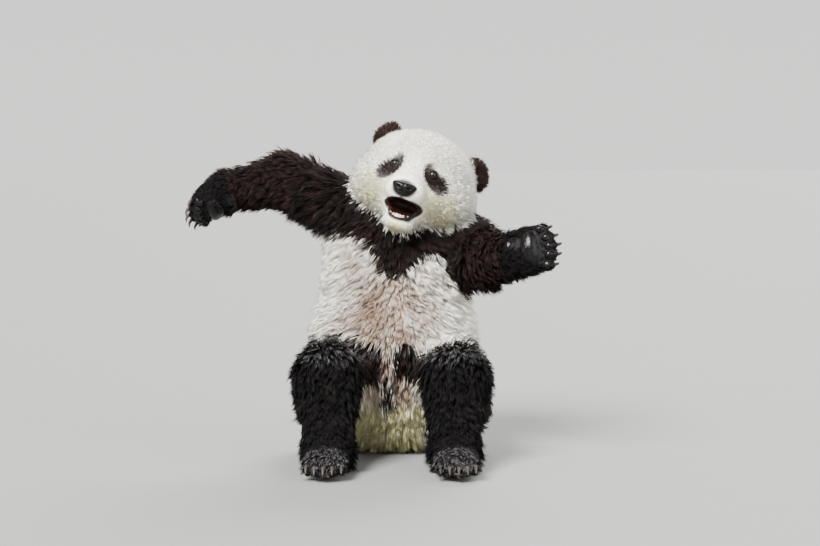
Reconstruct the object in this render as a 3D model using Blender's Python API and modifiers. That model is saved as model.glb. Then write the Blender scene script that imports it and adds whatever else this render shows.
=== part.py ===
"""A life-size giant panda cub, about ten months old, sitting on the floor.

It leans back a little, holds its right arm out and up and its left arm out with the palm
turned to the front, tilts its head towards its left shoulder and has its mouth open.

Frame: metres, +Z up.  The cub faces -Y and its left side is +X.  The origin is on the
floor, in the middle of the flat under its rump.

The flesh is made of two kinds of form, blobs (ellipsoids) and bars (tapered limbs), which
melt into each other.  Each form is roughed out as overlapping balls, remeshed, and then
settled onto the exact surface where the melted distance is zero.  All sizes run to the
tips of the coat.
"""

import math

import bmesh
import bpy
import numpy as np
from mathutils import Matrix, Vector

# --- Driving dimensions -----------------------------------------------------------------

SCALE = 1.0  # 1.0 is the cub's real size
CROWN_HEIGHT = 0.570  # floor to the top of the head
HEAD_WIDTH = 0.234  # across the cheek fur
BELLY_WIDTH = 0.300
HEAD_TILT = math.radians(17)  # the crown leans towards the left shoulder
HEAD_YAW = math.radians(-8)  # the nose turns towards the right arm
HEAD_PITCH = math.radians(-8)  # the nose is lifted

GAP = 0.0004  # clearance between pieces that touch
CUT = 0.0006  # width of the cuts that part the body
NECK_CUT_RADIUS = 0.088
VOXEL_BODY = 0.0045
VOXEL_HEAD = 0.0035
VOXEL_PAW = 0.0025
TRUNK_SOFTNESS = 0.020  # how far the forms of the trunk melt into each other
BODY_SOFTNESS = 0.011  # how far the limbs melt into the trunk
BODY_TRIANGLES = 2000
HEAD_TRIANGLES = 1100
HOLLOW_TRIANGLES = 700
MOUTH_TRIANGLES = 200
PAW_TRIANGLES = 500
EAR_TRIANGLES = 150
FORM_STEP = 0.0004  # how far apart two points are when a form's slope is measured

EYE_RADIUS = 0.0098
EYE_SPACING = 0.066
NOSE_SIZE = (0.0205, 0.0125, 0.0115)

# --- The skeleton: where the joints are ---------------------------------------------------

MIDLINE = -0.005  # the hips are this far towards the right arm
SEAT_MIDDLE = Vector((MIDLINE, 0.040, 0.0))  # becomes the origin

SPINE = {
    "pelvis": Vector((MIDLINE, 0.045, 0.106)),
    "belly": Vector((-0.002, 0.008, 0.205)),
    "chest": Vector((0.002, 0.034, 0.315)),
    "shoulders": Vector((0.010, 0.052, 0.392)),
    "nape": Vector((0.026, 0.052, 0.440)),
}
HEAD_CENTRE = Vector((0.040, 0.004, CROWN_HEIGHT - 0.084))

ARM_LEFT = {
    "shoulder": Vector((0.098, 0.040, 0.388)),
    "elbow": Vector((0.156, -0.052, 0.344)),
    "wrist": Vector((0.204, -0.122, 0.358)),
}
ARM_RIGHT = {
    "shoulder": Vector((-0.082, 0.050, 0.428)),
    "elbow": Vector((-0.196, 0.084, 0.480)),
    "wrist": Vector((-0.296, 0.050, 0.462)),
}


def leg_joints(side):
    """The joints of a hind leg with its knee drawn up; side is +1 for the left leg."""
    return {
        "hip": Vector((MIDLINE + side * 0.085, 0.020, 0.100)),
        "knee": Vector((MIDLINE + side * 0.107, -0.140, 0.152)),
        "ankle": Vector((MIDLINE + side * 0.105, -0.218, 0.050)),
    }


ARMS = {"left": ARM_LEFT, "right": ARM_RIGHT}
LEGS = {"left": leg_joints(1), "right": leg_joints(-1)}

# Half thicknesses, coat included
SHOULDER_R, ELBOW_R, WRIST_R = 0.064, 0.049, 0.036
HIP_R, KNEE_R, ANKLE_R = 0.092, 0.059, 0.040

FOREPAW = {"width": 0.090, "length": 0.086, "depth": 0.044, "claw": 0.022}
HINDPAW = {"width": 0.084, "length": 0.122, "depth": 0.048, "claw": 0.017}
DIGITS = 5

CLAW_RADIUS = 0.0036
CLAW_BEND = math.radians(75)
CLAW_STEPS = 3
CLAW_POINT = 0.22  # thickness at the point, as a share of the root's

TEETH = 6
TOOTH_ARCH = (0.0150, 0.0100)  # half width and depth of the curve that the teeth stand on
TOOTH_SPREAD = math.radians(75)
CANINE = {"height": 0.022, "radius": 0.0026}
INCISOR = {"height": 0.018, "radius": 0.0021}

# The cuts that part the body: the share of the way along a bone, and the reach to each side
ARMPIT_CUT = (0.85, 0.075)
UPPER_ARM_CUT = (0.62, 0.071)
ELBOW_CUT = (0.40, 0.066)
WRIST_CUT = (0.95, 0.056)
THIGH_CUT = (0.80, 0.097)
SHIN_CUT = (0.45, 0.066)
ANKLE_CUT = (0.82, 0.068)
TAIL_CUT_RADIUS = 0.050

# --- Forms ---------------------------------------------------------------------------------


class Blob:
    """An ellipsoid of flesh: its centre, half sizes and the turn of its axes."""

    def __init__(self, centre, radii, turn=None):
        self.centre = Vector(centre)
        self.radii = Vector(radii)
        self.turn = turn or Matrix.Identity(3)

    def distance(self, points):
        local = (points - np.array(self.centre)) @ np.array(self.turn)
        radii = np.array(self.radii)
        reach = np.linalg.norm(local / radii, axis=1)
        slope = np.linalg.norm(local / radii**2, axis=1)
        return reach * (reach - 1) / np.maximum(slope, 1e-9)

    def balls(self):
        yield self.centre, self.radii, self.turn

    def placed(self, frame):
        """The same blob, carried into a frame."""
        return Blob(frame @ self.centre, self.radii, frame.to_3x3() @ self.turn)


class Bar:
    """A round bar of flesh that tapers from one joint to the next."""

    def __init__(self, start, end, start_radius, end_radius):
        self.start, self.end = Vector(start), Vector(end)
        self.start_radius, self.end_radius = start_radius, end_radius

    def distance(self, points):
        start = np.array(self.start)
        along = np.array(self.end) - start
        share = np.clip((points - start) @ along / (along @ along), 0, 1)
        radius = self.start_radius + share * (self.end_radius - self.start_radius)
        return np.linalg.norm(points - start - share[:, None] * along, axis=1) - radius

    def balls(self):
        length = (self.end - self.start).length
        steps = max(2, math.ceil(length / (0.4 * min(self.start_radius, self.end_radius))))
        for step in range(steps + 1):
            share = step / steps
            radius = self.start_radius + share * (self.end_radius - self.start_radius)
            yield self.start.lerp(self.end, share), Vector((radius,) * 3), Matrix.Identity(3)

    def placed(self, frame):
        return Bar(frame @ self.start, frame @ self.end, self.start_radius, self.end_radius)


class Melt:
    """Forms that melt into each other; softness is how far the melting reaches."""

    def __init__(self, softness, members, hollows=()):
        self.softness, self.members, self.hollows = softness, list(members), list(hollows)

    def distance(self, points):
        each = np.stack([member.distance(points) for member in self.members])
        nearest = each.min(axis=0)
        melted = nearest - self.softness * np.log(
            np.exp((nearest - each) / self.softness).sum(axis=0)
        )
        for hollow in self.hollows:
            inside = -hollow.distance(points)
            top = np.maximum(melted, inside)
            soft = 0.4 * self.softness
            melted = top + soft * np.log(
                np.exp((melted - top) / soft) + np.exp((inside - top) / soft)
            )
        return melted

    def balls(self):
        for member in self.members:
            yield from member.balls()

    def placed(self, frame):
        return Melt(
            self.softness,
            [member.placed(frame) for member in self.members],
            [hollow.placed(frame) for hollow in self.hollows],
        )


# --- The parts of the body as forms -------------------------------------------------------


def pair(make):
    """A form for each side of the head; make takes +1 for the left side and -1."""
    return [make(1), make(-1)]


def side_turn(degrees_z=0.0, degrees_y=0.0, degrees_x=0.0):
    return (
        Matrix.Rotation(math.radians(degrees_z), 3, "Z")
        @ Matrix.Rotation(math.radians(degrees_y), 3, "Y")
        @ Matrix.Rotation(math.radians(degrees_x), 3, "X")
    )


def head_frame():
    """The head's own frame: x to its left, y to the back, z to the crown."""
    turn = (
        Matrix.Rotation(HEAD_TILT, 4, "Y")
        @ Matrix.Rotation(HEAD_YAW, 4, "Z")
        @ Matrix.Rotation(HEAD_PITCH, 4, "X")
    )
    return Matrix.Translation(HEAD_CENTRE) @ turn


HEAD = head_frame()
CHEEK_OUT = HEAD_WIDTH / 2 - 0.066  # from the middle to the centre of a cheek


def eye_place(side):
    return Vector((side * EYE_SPACING / 2, -0.0800, 0.002))


NOSE_PLACE = Vector((0.0, -0.1310, -0.0400))
JAW_TIP = Vector((0.0, -0.0905, -0.0970))


def head_form():
    """Cranium, cheeks, brow, muzzle, lips and the dropped lower jaw."""
    members = [
        Blob((0, 0.020, 0.010), (0.093, 0.098, 0.076)),
        Blob((0, -0.034, 0.022), (0.078, 0.060, 0.053)),
        Bar((0, -0.052, -0.016), (0, -0.098, -0.034), 0.048, 0.0305),
        Blob((0, -0.118, -0.038), (0.025, 0.015, 0.017)),
        Blob((0, -0.026, -0.056), (0.060, 0.062, 0.038)),
        Blob((0, -0.082, -0.0950), (0.0285, 0.0262, 0.0124), side_turn(degrees_x=10)),
        Bar((0, -0.030, -0.070), (0, -0.070, -0.0890), 0.036, 0.021),
    ]
    members += pair(lambda s: Blob((s * CHEEK_OUT, -0.002, -0.028), (0.064, 0.076, 0.052)))
    members += pair(lambda s: Blob((s * 0.056, 0.004, 0.000), (0.044, 0.072, 0.050)))
    members += pair(lambda s: Blob((s * 0.032, -0.060, -0.036), (0.032, 0.036, 0.029)))
    members += pair(lambda s: Blob((s * 0.0170, -0.108, -0.0425), (0.0195, 0.023, 0.0160)))
    sockets = pair(lambda s: Blob(eye_place(s) + Vector((s * 0.003, -0.016, -0.001)), (0.013, 0.011, 0.010)))
    return Melt(0.0055, members, sockets)


def mouth_form():
    """The room inside the open mouth, between the upper lip and the lower lip."""
    return Melt(
        0.003,
        [
            Blob((0, -0.102, -0.0712), (0.0320, 0.042, 0.0130), side_turn(degrees_x=14)),
            Blob((0, -0.106, -0.0640), (0.0210, 0.036, 0.0120), side_turn(degrees_x=14)),
        ],
    )


def tongue_form():
    return Blob((0, -0.0705, -0.0795), (0.0150, 0.020, 0.0050), side_turn(degrees_x=12))


EAR_PLACES = {
    "left": (Vector((0.087, 0.036, 0.034)), side_turn(36, 54, -6)),
    "right": (Vector((-0.078, 0.038, 0.052)), side_turn(-36, -32, -6)),
}


def ear_frame(side):
    """An ear stands up from its corner of the head and opens forward and outward."""
    place, turn = EAR_PLACES[side]
    return Matrix.Translation(place) @ turn.to_4x4()


def ear_form(side):
    """A round cup, open to the front."""
    ear = Melt(
        0.003,
        [Blob((0, 0, 0.006), (0.032, 0.0125, 0.030)), Blob((0, 0.003, -0.016), (0.025, 0.013, 0.020))],
        [Blob((0, -0.016, 0.009), (0.021, 0.012, 0.019))],
    )
    return ear.placed(HEAD @ ear_frame(side))


def paw_frame(wrist, towards, palm):
    """A paw's own frame: x across the digits, y along them, z out of the palm."""
    along = Vector(towards).normalized()
    across = along.cross(Vector(palm)).normalized()
    out = across.cross(along)
    frame = Matrix((across, along, out)).transposed().to_4x4()
    frame.translation = wrist
    return frame


def digit(paw, number):
    """Where a digit starts and ends in its paw's frame; the middle ones reach furthest."""
    spread = (number - (DIGITS - 1) / 2) / ((DIGITS - 1) / 2)
    reach = paw["length"] * (1 - 0.13 * spread * spread)
    out_by = spread * (0.5 * paw["width"] - 0.013)
    root = Vector((0.92 * out_by, 0.58 * paw["length"], 0.000))
    tip = Vector((out_by, reach - 0.012, 0.006))
    return root, tip


def paw_form(paw, frame):
    """Palm, heel, five digits and the pads under them."""
    half, length, depth = 0.5 * paw["width"], paw["length"], 0.5 * paw["depth"]
    members = [
        Blob((0, 0.42 * length, 0), (half * 0.92, 0.46 * length, depth)),
        Blob((0, 0.02 * length, 0), (half * 0.72, 0.30 * length, depth * 1.10)),
        Blob((0, 0.52 * length, 0.62 * depth), (half * 0.74, 0.15 * length, depth * 0.55)),
    ]
    for number in range(DIGITS):
        root, tip = digit(paw, number)
        members.append(Bar(root, tip, 0.0115, 0.0104))
        members.append(Blob(tip + Vector((0, -0.001, 0.0068)), (0.0078, 0.0098, 0.0064)))
    return Melt(0.0018, members).placed(frame)


def foot_frame(side, sign):
    """A hind foot stands on its sole, toes forward and a little outward."""
    heel = LEGS[side]["ankle"] + Vector((0, 0, -0.022))
    return paw_frame(heel, (0.04 * sign, -1, 0), (0, 0, -1))


PAW_FRAMES = {
    ("front", "left"): paw_frame(ARM_LEFT["wrist"], (0.80, -0.42, 0.22), (-0.30, -0.95, 0.12)),
    ("front", "right"): paw_frame(ARM_RIGHT["wrist"], (-0.80, -0.28, -0.46), (0.10, -0.62, -0.72)),
    ("hind", "left"): foot_frame("left", 1),
    ("hind", "right"): foot_frame("right", -1),
}
PAWS = {place: FOREPAW if place[0] == "front" else HINDPAW for place in PAW_FRAMES}


def trunk_form():
    half = BELLY_WIDTH / 2
    return Melt(
        TRUNK_SOFTNESS,
        [
            Blob(SPINE["pelvis"], (half * 0.94, 0.120, 0.113)),
            Blob(SPINE["belly"], (half * 0.98, 0.130, 0.112), side_turn(degrees_x=-8)),
            Blob(SPINE["chest"], (half * 0.86, 0.110, 0.100), side_turn(degrees_x=-8)),
            Blob(SPINE["shoulders"], (half * 0.68, 0.082, 0.056)),
            Bar(SPINE["shoulders"], SPINE["nape"], 0.070, 0.068),
        ],
    )


def tail_form():
    return Bar((MIDLINE, 0.135, 0.056), (MIDLINE, 0.200, 0.0255), 0.032, 0.027)


def arm_form(arm):
    return Melt(
        0.008,
        [
            Bar(arm["shoulder"], arm["elbow"], SHOULDER_R, ELBOW_R),
            Bar(arm["elbow"], arm["wrist"], ELBOW_R, WRIST_R),
        ],
    )


def leg_form(leg):
    heel = leg["ankle"] + Vector((0, 0.006, -0.014))
    return Melt(
        0.008,
        [
            Bar(leg["hip"], leg["knee"], HIP_R, KNEE_R),
            Bar(leg["knee"], leg["ankle"], KNEE_R, ANKLE_R),
            Blob(heel, (0.038, 0.034, 0.036)),
        ],
    )


def body_form():
    """Everything but the head, melted together."""
    members = [trunk_form(), tail_form()]
    members += [arm_form(arm) for arm in ARMS.values()]
    members += [leg_form(leg) for leg in LEGS.values()]
    members += [paw_form(PAWS[place], frame) for place, frame in PAW_FRAMES.items()]
    return Melt(BODY_SOFTNESS, members)


# --- From forms to meshes ------------------------------------------------------------------


def collection(name):
    made = bpy.data.collections.new(name)
    bpy.context.scene.collection.children.link(made)
    return made


def new_object(name, mesh, group):
    obj = bpy.data.objects.new(name, mesh)
    group.objects.link(obj)
    return obj


def baked_mesh(obj, name):
    """The object's mesh with its modifiers applied; the object itself is removed."""
    bpy.context.view_layer.update()
    evaluated = obj.evaluated_get(bpy.context.evaluated_depsgraph_get())
    mesh = bpy.data.meshes.new_from_object(evaluated)
    mesh.transform(obj.matrix_world)
    mesh.name = name
    bpy.data.objects.remove(obj)
    return mesh


def read_points(mesh):
    points = np.empty(len(mesh.vertices) * 3)
    mesh.vertices.foreach_get("co", points)
    return points.reshape(-1, 3)


def write_points(mesh, points):
    mesh.vertices.foreach_set("co", points.ravel())
    mesh.update()


def ball_template():
    bm = bmesh.new()
    bmesh.ops.create_uvsphere(bm, u_segments=20, v_segments=12, radius=1.0)
    mesh = bpy.data.meshes.new("ball")
    bm.to_mesh(mesh)
    bm.free()
    return mesh


def roughed_out(name, form, group):
    """Overlapping balls for every part of a form."""
    template = ball_template()
    bm = bmesh.new()
    for centre, radii, turn in form.balls():
        ball = template.copy()
        ball.transform(Matrix.Translation(centre) @ turn.to_4x4() @ Matrix.Diagonal(radii).to_4x4())
        bm.from_mesh(ball)
        bpy.data.meshes.remove(ball)
    mesh = bpy.data.meshes.new(name)
    bm.to_mesh(mesh)
    bm.free()
    return new_object(name, mesh, group)


def remeshed(obj, voxel):
    remesh = obj.modifiers.new("remesh", "REMESH")
    remesh.mode = "VOXEL"
    remesh.voxel_size = voxel
    return baked_mesh(obj, obj.name)


def settle(mesh, form, level=0.0, rounds=5):
    """Moves every point along the form's slope until its distance is the level."""
    points = read_points(mesh)
    for _ in range(rounds):
        here = form.distance(points)
        ahead = [form.distance(points + FORM_STEP * axis) for axis in np.eye(3)]
        slope = (np.stack(ahead, axis=1) - here[:, None]) / FORM_STEP
        steepness = np.maximum((slope**2).sum(axis=1), 0.25)
        step = np.clip((here - level) / steepness, -0.006, 0.006)
        points = points - slope * step[:, None]
    write_points(mesh, points)


def melted_mesh(name, form, voxel, group):
    """A form's whole surface, finely meshed."""
    mesh = remeshed(roughed_out(name, form, group), voxel)
    settle(mesh, form)
    mesh = remeshed(new_object(name, mesh, group), voxel)
    settle(mesh, form)
    return mesh


def thinned(name, mesh, triangles, group):
    """The mesh with fewer triangles, most of them where it bends most."""
    obj = new_object(name, mesh, group)
    decimate = obj.modifiers.new("thin", "DECIMATE")
    corners = sum(len(polygon.vertices) - 2 for polygon in mesh.polygons)
    decimate.ratio = triangles / corners
    decimate.use_collapse_triangulate = True
    return baked_mesh(obj, name)


def flesh(name, form, voxel, triangles, group):
    """A form's surface in about this many triangles."""
    mesh = thinned(name, melted_mesh(name, form, voxel, group), triangles, group)
    settle(mesh, form, rounds=3)
    return mesh


def flat_on_floor(mesh):
    """Cuts off what lies below the floor and closes the cut with flat faces."""
    bm = bmesh.new()
    bm.from_mesh(mesh)
    found = bmesh.ops.bisect_plane(
        bm,
        geom=bm.verts[:] + bm.edges[:] + bm.faces[:],
        dist=1e-6,
        plane_co=(0, 0, 0),
        plane_no=(0, 0, 1),
        clear_inner=True,
    )
    rims = [item for item in found["geom_cut"] if isinstance(item, bmesh.types.BMEdge)]
    bmesh.ops.holes_fill(bm, edges=rims, sides=0)
    bmesh.ops.triangulate(bm, faces=bm.faces[:])
    bm.to_mesh(mesh)
    bm.free()


def boolean(mesh, cutter, operation, group):
    """mesh joined with, or cut by, the cutter mesh."""
    obj = new_object(mesh.name, mesh, group)
    tool = new_object("cutter", cutter, group)
    tool.hide_render = True
    tool.display_type = "WIRE"
    modifier = obj.modifiers.new("boolean", "BOOLEAN")
    modifier.operation = operation
    modifier.solver = "EXACT"
    modifier.object = tool
    made = baked_mesh(obj, mesh.name)
    bpy.data.objects.remove(tool)
    return made


def joined(meshes):
    """Several meshes as one, for a cutter in several places."""
    bm = bmesh.new()
    for mesh in meshes:
        bm.from_mesh(mesh)
    made = bpy.data.meshes.new("joined")
    bm.to_mesh(made)
    bm.free()
    return made


def ball_mesh(name, centre, radii, frame, segments, rings, swell=0.0):
    """An ellipsoid in a frame, made larger all round by swell."""
    bm = bmesh.new()
    sizes = Matrix.Diagonal(Vector(radii) + Vector((swell,) * 3)).to_4x4()
    matrix = frame @ Matrix.Translation(centre) @ sizes
    bmesh.ops.create_uvsphere(bm, u_segments=segments, v_segments=rings, radius=1.0, matrix=matrix)
    mesh = bpy.data.meshes.new(name)
    bm.to_mesh(mesh)
    bm.free()
    return mesh


# --- Cuts that part the body ----------------------------------------------------------------


def disc(centre, facing, radius):
    """A thin round cutter, square to the way it faces."""
    bm = bmesh.new()
    turn = Vector(facing).to_track_quat("Z", "Y").to_matrix().to_4x4()
    bmesh.ops.create_cone(
        bm,
        cap_ends=True,
        segments=24,
        radius1=radius,
        radius2=radius,
        depth=CUT,
        matrix=Matrix.Translation(centre) @ turn,
    )
    mesh = bpy.data.meshes.new("disc")
    bm.to_mesh(mesh)
    bm.free()
    return mesh


def across_bone(start, end, cut, facing=None):
    """A disc across a bone, square to it unless it is given a way to face."""
    share, radius = cut
    return disc(start.lerp(end, share), facing or end - start, radius)


def wrist_cut(end, side):
    """The disc that parts a paw from its limb."""
    if end == "front":
        arm = ARMS[side]
        return across_bone(arm["elbow"], arm["wrist"], WRIST_CUT)
    leg = LEGS[side]
    return across_bone(leg["knee"], leg["ankle"], ANKLE_CUT)


def ball_shell(centre, radius):
    """A thin hollow ball, which parts what is inside it from what is outside."""
    bm = bmesh.new()
    for size, inner in ((radius, False), (radius - CUT, True)):
        matrix = Matrix.Translation(centre)
        made = bmesh.ops.create_uvsphere(bm, u_segments=20, v_segments=12, radius=size, matrix=matrix)
        if inner:
            faces = {face for vert in made["verts"] for face in vert.link_faces}
            bmesh.ops.reverse_faces(bm, faces=list(faces))
    mesh = bpy.data.meshes.new("shell")
    bm.to_mesh(mesh)
    bm.free()
    return mesh


def body_cuts():
    cuts = [
        across_bone(ARM_LEFT["shoulder"], ARM_LEFT["elbow"], ARMPIT_CUT, Vector((1, -1, 0))),
        across_bone(ARM_RIGHT["shoulder"], ARM_RIGHT["elbow"], UPPER_ARM_CUT),
        ball_shell(SPINE["nape"] + Vector((0, 0, 0.010)), NECK_CUT_RADIUS),
        disc((MIDLINE, 0.170, 0.040), (0, 1, -0.42), TAIL_CUT_RADIUS),
    ]
    cuts += [across_bone(arm["elbow"], arm["wrist"], ELBOW_CUT) for arm in ARMS.values()]
    for side, leg in LEGS.items():
        outward = 0.5 if side == "left" else -0.5
        cuts.append(across_bone(leg["hip"], leg["knee"], THIGH_CUT, Vector((outward, -1, -0.2))))
        cuts.append(across_bone(leg["knee"], leg["ankle"], SHIN_CUT))
    cuts += [wrist_cut(end, side) for end in ("front", "hind") for side in ARMS]
    return cuts


def paw_part(end, side):
    return f"front_paw_{side}" if end == "front" else f"hind_foot_{side}"


def part_places():
    """A point well inside each part of the body, to tell the parts by."""
    places = {
        "trunk": SPINE["pelvis"].lerp(SPINE["chest"], 0.5),
        "neck": SPINE["nape"] + Vector((0, 0, -0.020)),
        "tail": Vector((MIDLINE, 0.205, 0.026)),
    }
    for side, arm in ARMS.items():
        places[f"upper_arm_{side}"] = arm["elbow"]
        places[f"forearm_{side}"] = arm["elbow"].lerp(arm["wrist"], 0.70)
    for side, leg in LEGS.items():
        places[f"thigh_{side}"] = leg["knee"]
        places[f"shin_{side}"] = leg["knee"].lerp(leg["ankle"], 0.65)
    for end, side in PAWS:
        places[paw_part(end, side)] = PAW_FRAMES[end, side] @ Vector((0, 0.050, 0))
    return places


def loose_pieces(mesh):
    """The mesh's separate closed pieces, each as a mesh of its own."""
    bm = bmesh.new()
    bm.from_mesh(mesh)
    bm.verts.ensure_lookup_table()
    unseen = set(range(len(bm.verts)))
    pieces = []
    while unseen:
        stack, found = [unseen.pop()], set()
        while stack:
            here = stack.pop()
            found.add(here)
            for edge in bm.verts[here].link_edges:
                there = edge.other_vert(bm.verts[here]).index
                if there in unseen:
                    unseen.discard(there)
                    stack.append(there)
        piece = bm.copy()
        piece.verts.ensure_lookup_table()
        gone = [piece.verts[i] for i in range(len(piece.verts)) if i not in found]
        bmesh.ops.delete(piece, geom=gone, context="VERTS")
        made = bpy.data.meshes.new("piece")
        piece.to_mesh(made)
        piece.free()
        pieces.append(made)
    bm.free()
    return pieces


def name_pieces(pieces, places):
    """Each piece goes to the place that it is nearest to."""
    named = {}
    for piece in pieces:
        points = read_points(piece)
        if len(points) < 8:
            continue
        centre = Vector(points.mean(axis=0))
        name = min(places, key=lambda n: (places[n] - centre).length)
        if name in named:
            raise RuntimeError(f"two pieces are nearest to {name}: move a cut")
        named[name] = piece
    missing = sorted(set(places) - set(named))
    if missing:
        raise RuntimeError(f"no piece for {missing}")
    return named


# --- Claws ------------------------------------------------------------------------------------


def claw_mesh(paw, frame, number, group, swell=0.0):
    """A curved, tapering claw from the tip of a digit, bent towards the palm."""
    _, tip = digit(paw, number)
    radius = paw["claw"] / CLAW_BEND
    path = bpy.data.curves.new("claw", "CURVE")
    path.dimensions = "3D"
    path.bevel_depth = CLAW_RADIUS + swell
    path.bevel_resolution = 1
    path.use_fill_caps = True
    spline = path.splines.new("POLY")
    spline.points.add(CLAW_STEPS)
    root = tip + Vector((0, 0.006, -0.003))
    for step in range(CLAW_STEPS + 1):
        share = step / CLAW_STEPS
        bend = CLAW_BEND * share
        place = root + radius * Vector((0, math.sin(bend), 1 - math.cos(bend)))
        spline.points[step].co = (*(frame @ place), 1)
        spline.points[step].radius = 1.0 - (1.0 - CLAW_POINT) * share**1.5
    obj = new_object("claw", path, group)
    mesh = baked_mesh(obj, "claw")
    bm = bmesh.new()
    bm.from_mesh(mesh)
    bmesh.ops.remove_doubles(bm, verts=bm.verts[:], dist=1e-5)
    bmesh.ops.recalc_face_normals(bm, faces=bm.faces[:])
    bmesh.ops.triangulate(bm, faces=bm.faces[:])
    bm.to_mesh(mesh)
    bm.free()
    return mesh


# --- Teeth ------------------------------------------------------------------------------------


def tooth(foot, kind):
    """A tapered tooth that stands up from its foot."""
    bm = bmesh.new()
    bmesh.ops.create_cone(
        bm,
        cap_ends=True,
        segments=6,
        radius1=kind["radius"],
        radius2=0.35 * kind["radius"],
        depth=kind["height"],
        matrix=HEAD @ Matrix.Translation(foot + Vector((0, 0, kind["height"] / 2))),
    )
    mesh = bpy.data.meshes.new("tooth")
    bm.to_mesh(mesh)
    bm.free()
    return mesh


def lower_teeth():
    """Two canines and the incisors between them, set round the front of the lower jaw."""
    teeth = []
    width, depth = TOOTH_ARCH
    for number in range(TEETH):
        angle = TOOTH_SPREAD * (2 * number / (TEETH - 1) - 1)
        foot = JAW_TIP + Vector((width * math.sin(angle), -depth * math.cos(angle), 0))
        teeth.append(tooth(foot, CANINE if number in (0, TEETH - 1) else INCISOR))
    return teeth


# --- Materials ----------------------------------------------------------------------------------


def material(name, colour, roughness):
    made = bpy.data.materials.new(name)
    made.use_nodes = True
    shader = made.node_tree.nodes["Principled BSDF"]
    shader.inputs["Base Color"].default_value = (*colour, 1)
    shader.inputs["Roughness"].default_value = roughness
    shader.inputs["Metallic"].default_value = 0.0
    made.diffuse_color = (*colour, 1)
    return made


def materials():
    return {
        "white": material("white_coat", (0.78, 0.75, 0.66), 0.85),
        "black": material("black_coat", (0.022, 0.017, 0.015), 0.80),
        "nose": material("bare_skin", (0.012, 0.011, 0.011), 0.35),
        "eye": material("eye", (0.018, 0.010, 0.007), 0.08),
        "claw": material("claw_horn", (0.055, 0.045, 0.038), 0.45),
        "tongue": material("tongue", (0.45, 0.16, 0.15), 0.45),
    }


def finish(name, mesh, look, group):
    """One finished sub-part, with the middle of the seat brought to the origin."""
    bm = bmesh.new()
    bm.from_mesh(mesh)
    bmesh.ops.triangulate(bm, faces=bm.faces[:])
    bm.to_mesh(mesh)
    bm.free()
    mesh.transform(Matrix.Scale(SCALE, 4) @ Matrix.Translation(-SEAT_MIDDLE))
    mesh.materials.clear()
    mesh.materials.append(look)
    obj = new_object(name, mesh, group)
    mesh.shade_smooth()
    mesh.set_sharp_from_angle(angle=math.radians(50))
    return obj


# --- The whole cub ---------------------------------------------------------------------------------


def build_head(work):
    """The head's mesh, and the swollen copy that hollows out what it rests on."""
    form = head_form().placed(HEAD)
    head = flesh("head", form, VOXEL_HEAD, HEAD_TRIANGLES, work)
    swollen = thinned("swollen", head.copy(), HOLLOW_TRIANGLES, work)
    settle(swollen, form, level=3.5 * GAP, rounds=3)
    return head, swollen


def build_face(head, work):
    """Opens the mouth and sets the eyes, nose, tongue and teeth into the head."""
    mouth = flesh("mouth", mouth_form().placed(HEAD), 0.003, MOUTH_TRIANGLES, work)
    head = boolean(head, mouth, "DIFFERENCE", work)
    head = boolean(head, joined(lower_teeth()), "UNION", work)
    tongue = tongue_form()
    in_mouth = HEAD @ Matrix.Translation(tongue.centre) @ tongue.turn.to_4x4()
    middle = Vector((0, 0, 0))
    settings = {
        "eye_left": ((eye_place(1), (EYE_RADIUS,) * 3, HEAD, 12, 8), "eye"),
        "eye_right": ((eye_place(-1), (EYE_RADIUS,) * 3, HEAD, 12, 8), "eye"),
        "nose": ((NOSE_PLACE, NOSE_SIZE, HEAD, 16, 10), "nose"),
        "tongue": ((middle, tongue.radii, in_mouth, 12, 8), "tongue"),
    }
    sockets = [ball_mesh("socket", *shape, swell=GAP) for shape, _ in settings.values()]
    head = boolean(head, joined(sockets), "DIFFERENCE", work)
    return head, {name: (ball_mesh(name, *shape), look) for name, (shape, look) in settings.items()}


def parted(mesh, cuts, places, work):
    """Parts a mesh with thin cuts and names the pieces."""
    for cut in cuts:
        mesh = boolean(mesh, cut, "DIFFERENCE", work)
    return name_pieces(loose_pieces(mesh), places)


def build_body(swollen_head, work):
    """The trunk, neck, limbs and tail as named meshes, the paws more finely meshed."""
    body = flesh("body", body_form(), VOXEL_BODY, BODY_TRIANGLES, work)
    flat_on_floor(body)
    body = boolean(body, swollen_head, "DIFFERENCE", work)
    parts = parted(body, body_cuts(), part_places(), work)
    for place, frame in PAW_FRAMES.items():
        end, side = place
        limb = arm_form(ARMS[side]) if end == "front" else leg_form(LEGS[side])
        whole = Melt(BODY_SOFTNESS, [limb, paw_form(PAWS[place], frame)])
        mesh = flesh("paw", whole, VOXEL_PAW, PAW_TRIANGLES, work)
        flat_on_floor(mesh)
        name = paw_part(end, side)
        near = {name: part_places()[name], "limb": limb.members[0].end}
        parts[name] = parted(mesh, [wrist_cut(end, side)], near, work)[name]
    return parts


def build_claws(parts, work):
    """Sets five claws into each paw and returns them by name."""
    claws = {}
    for place, frame in PAW_FRAMES.items():
        end, side = place
        paw = PAWS[place]
        sockets = [claw_mesh(paw, frame, number, work, swell=GAP) for number in range(DIGITS)]
        node = paw_part(end, side)
        parts[node] = boolean(parts[node], joined(sockets), "DIFFERENCE", work)
        for number in range(DIGITS):
            claws[f"claw_{end}_{side}_{number + 1}"] = claw_mesh(paw, frame, number, work)
    return claws


WHITE_PARTS = ("head", "neck", "trunk", "tail")


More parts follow.
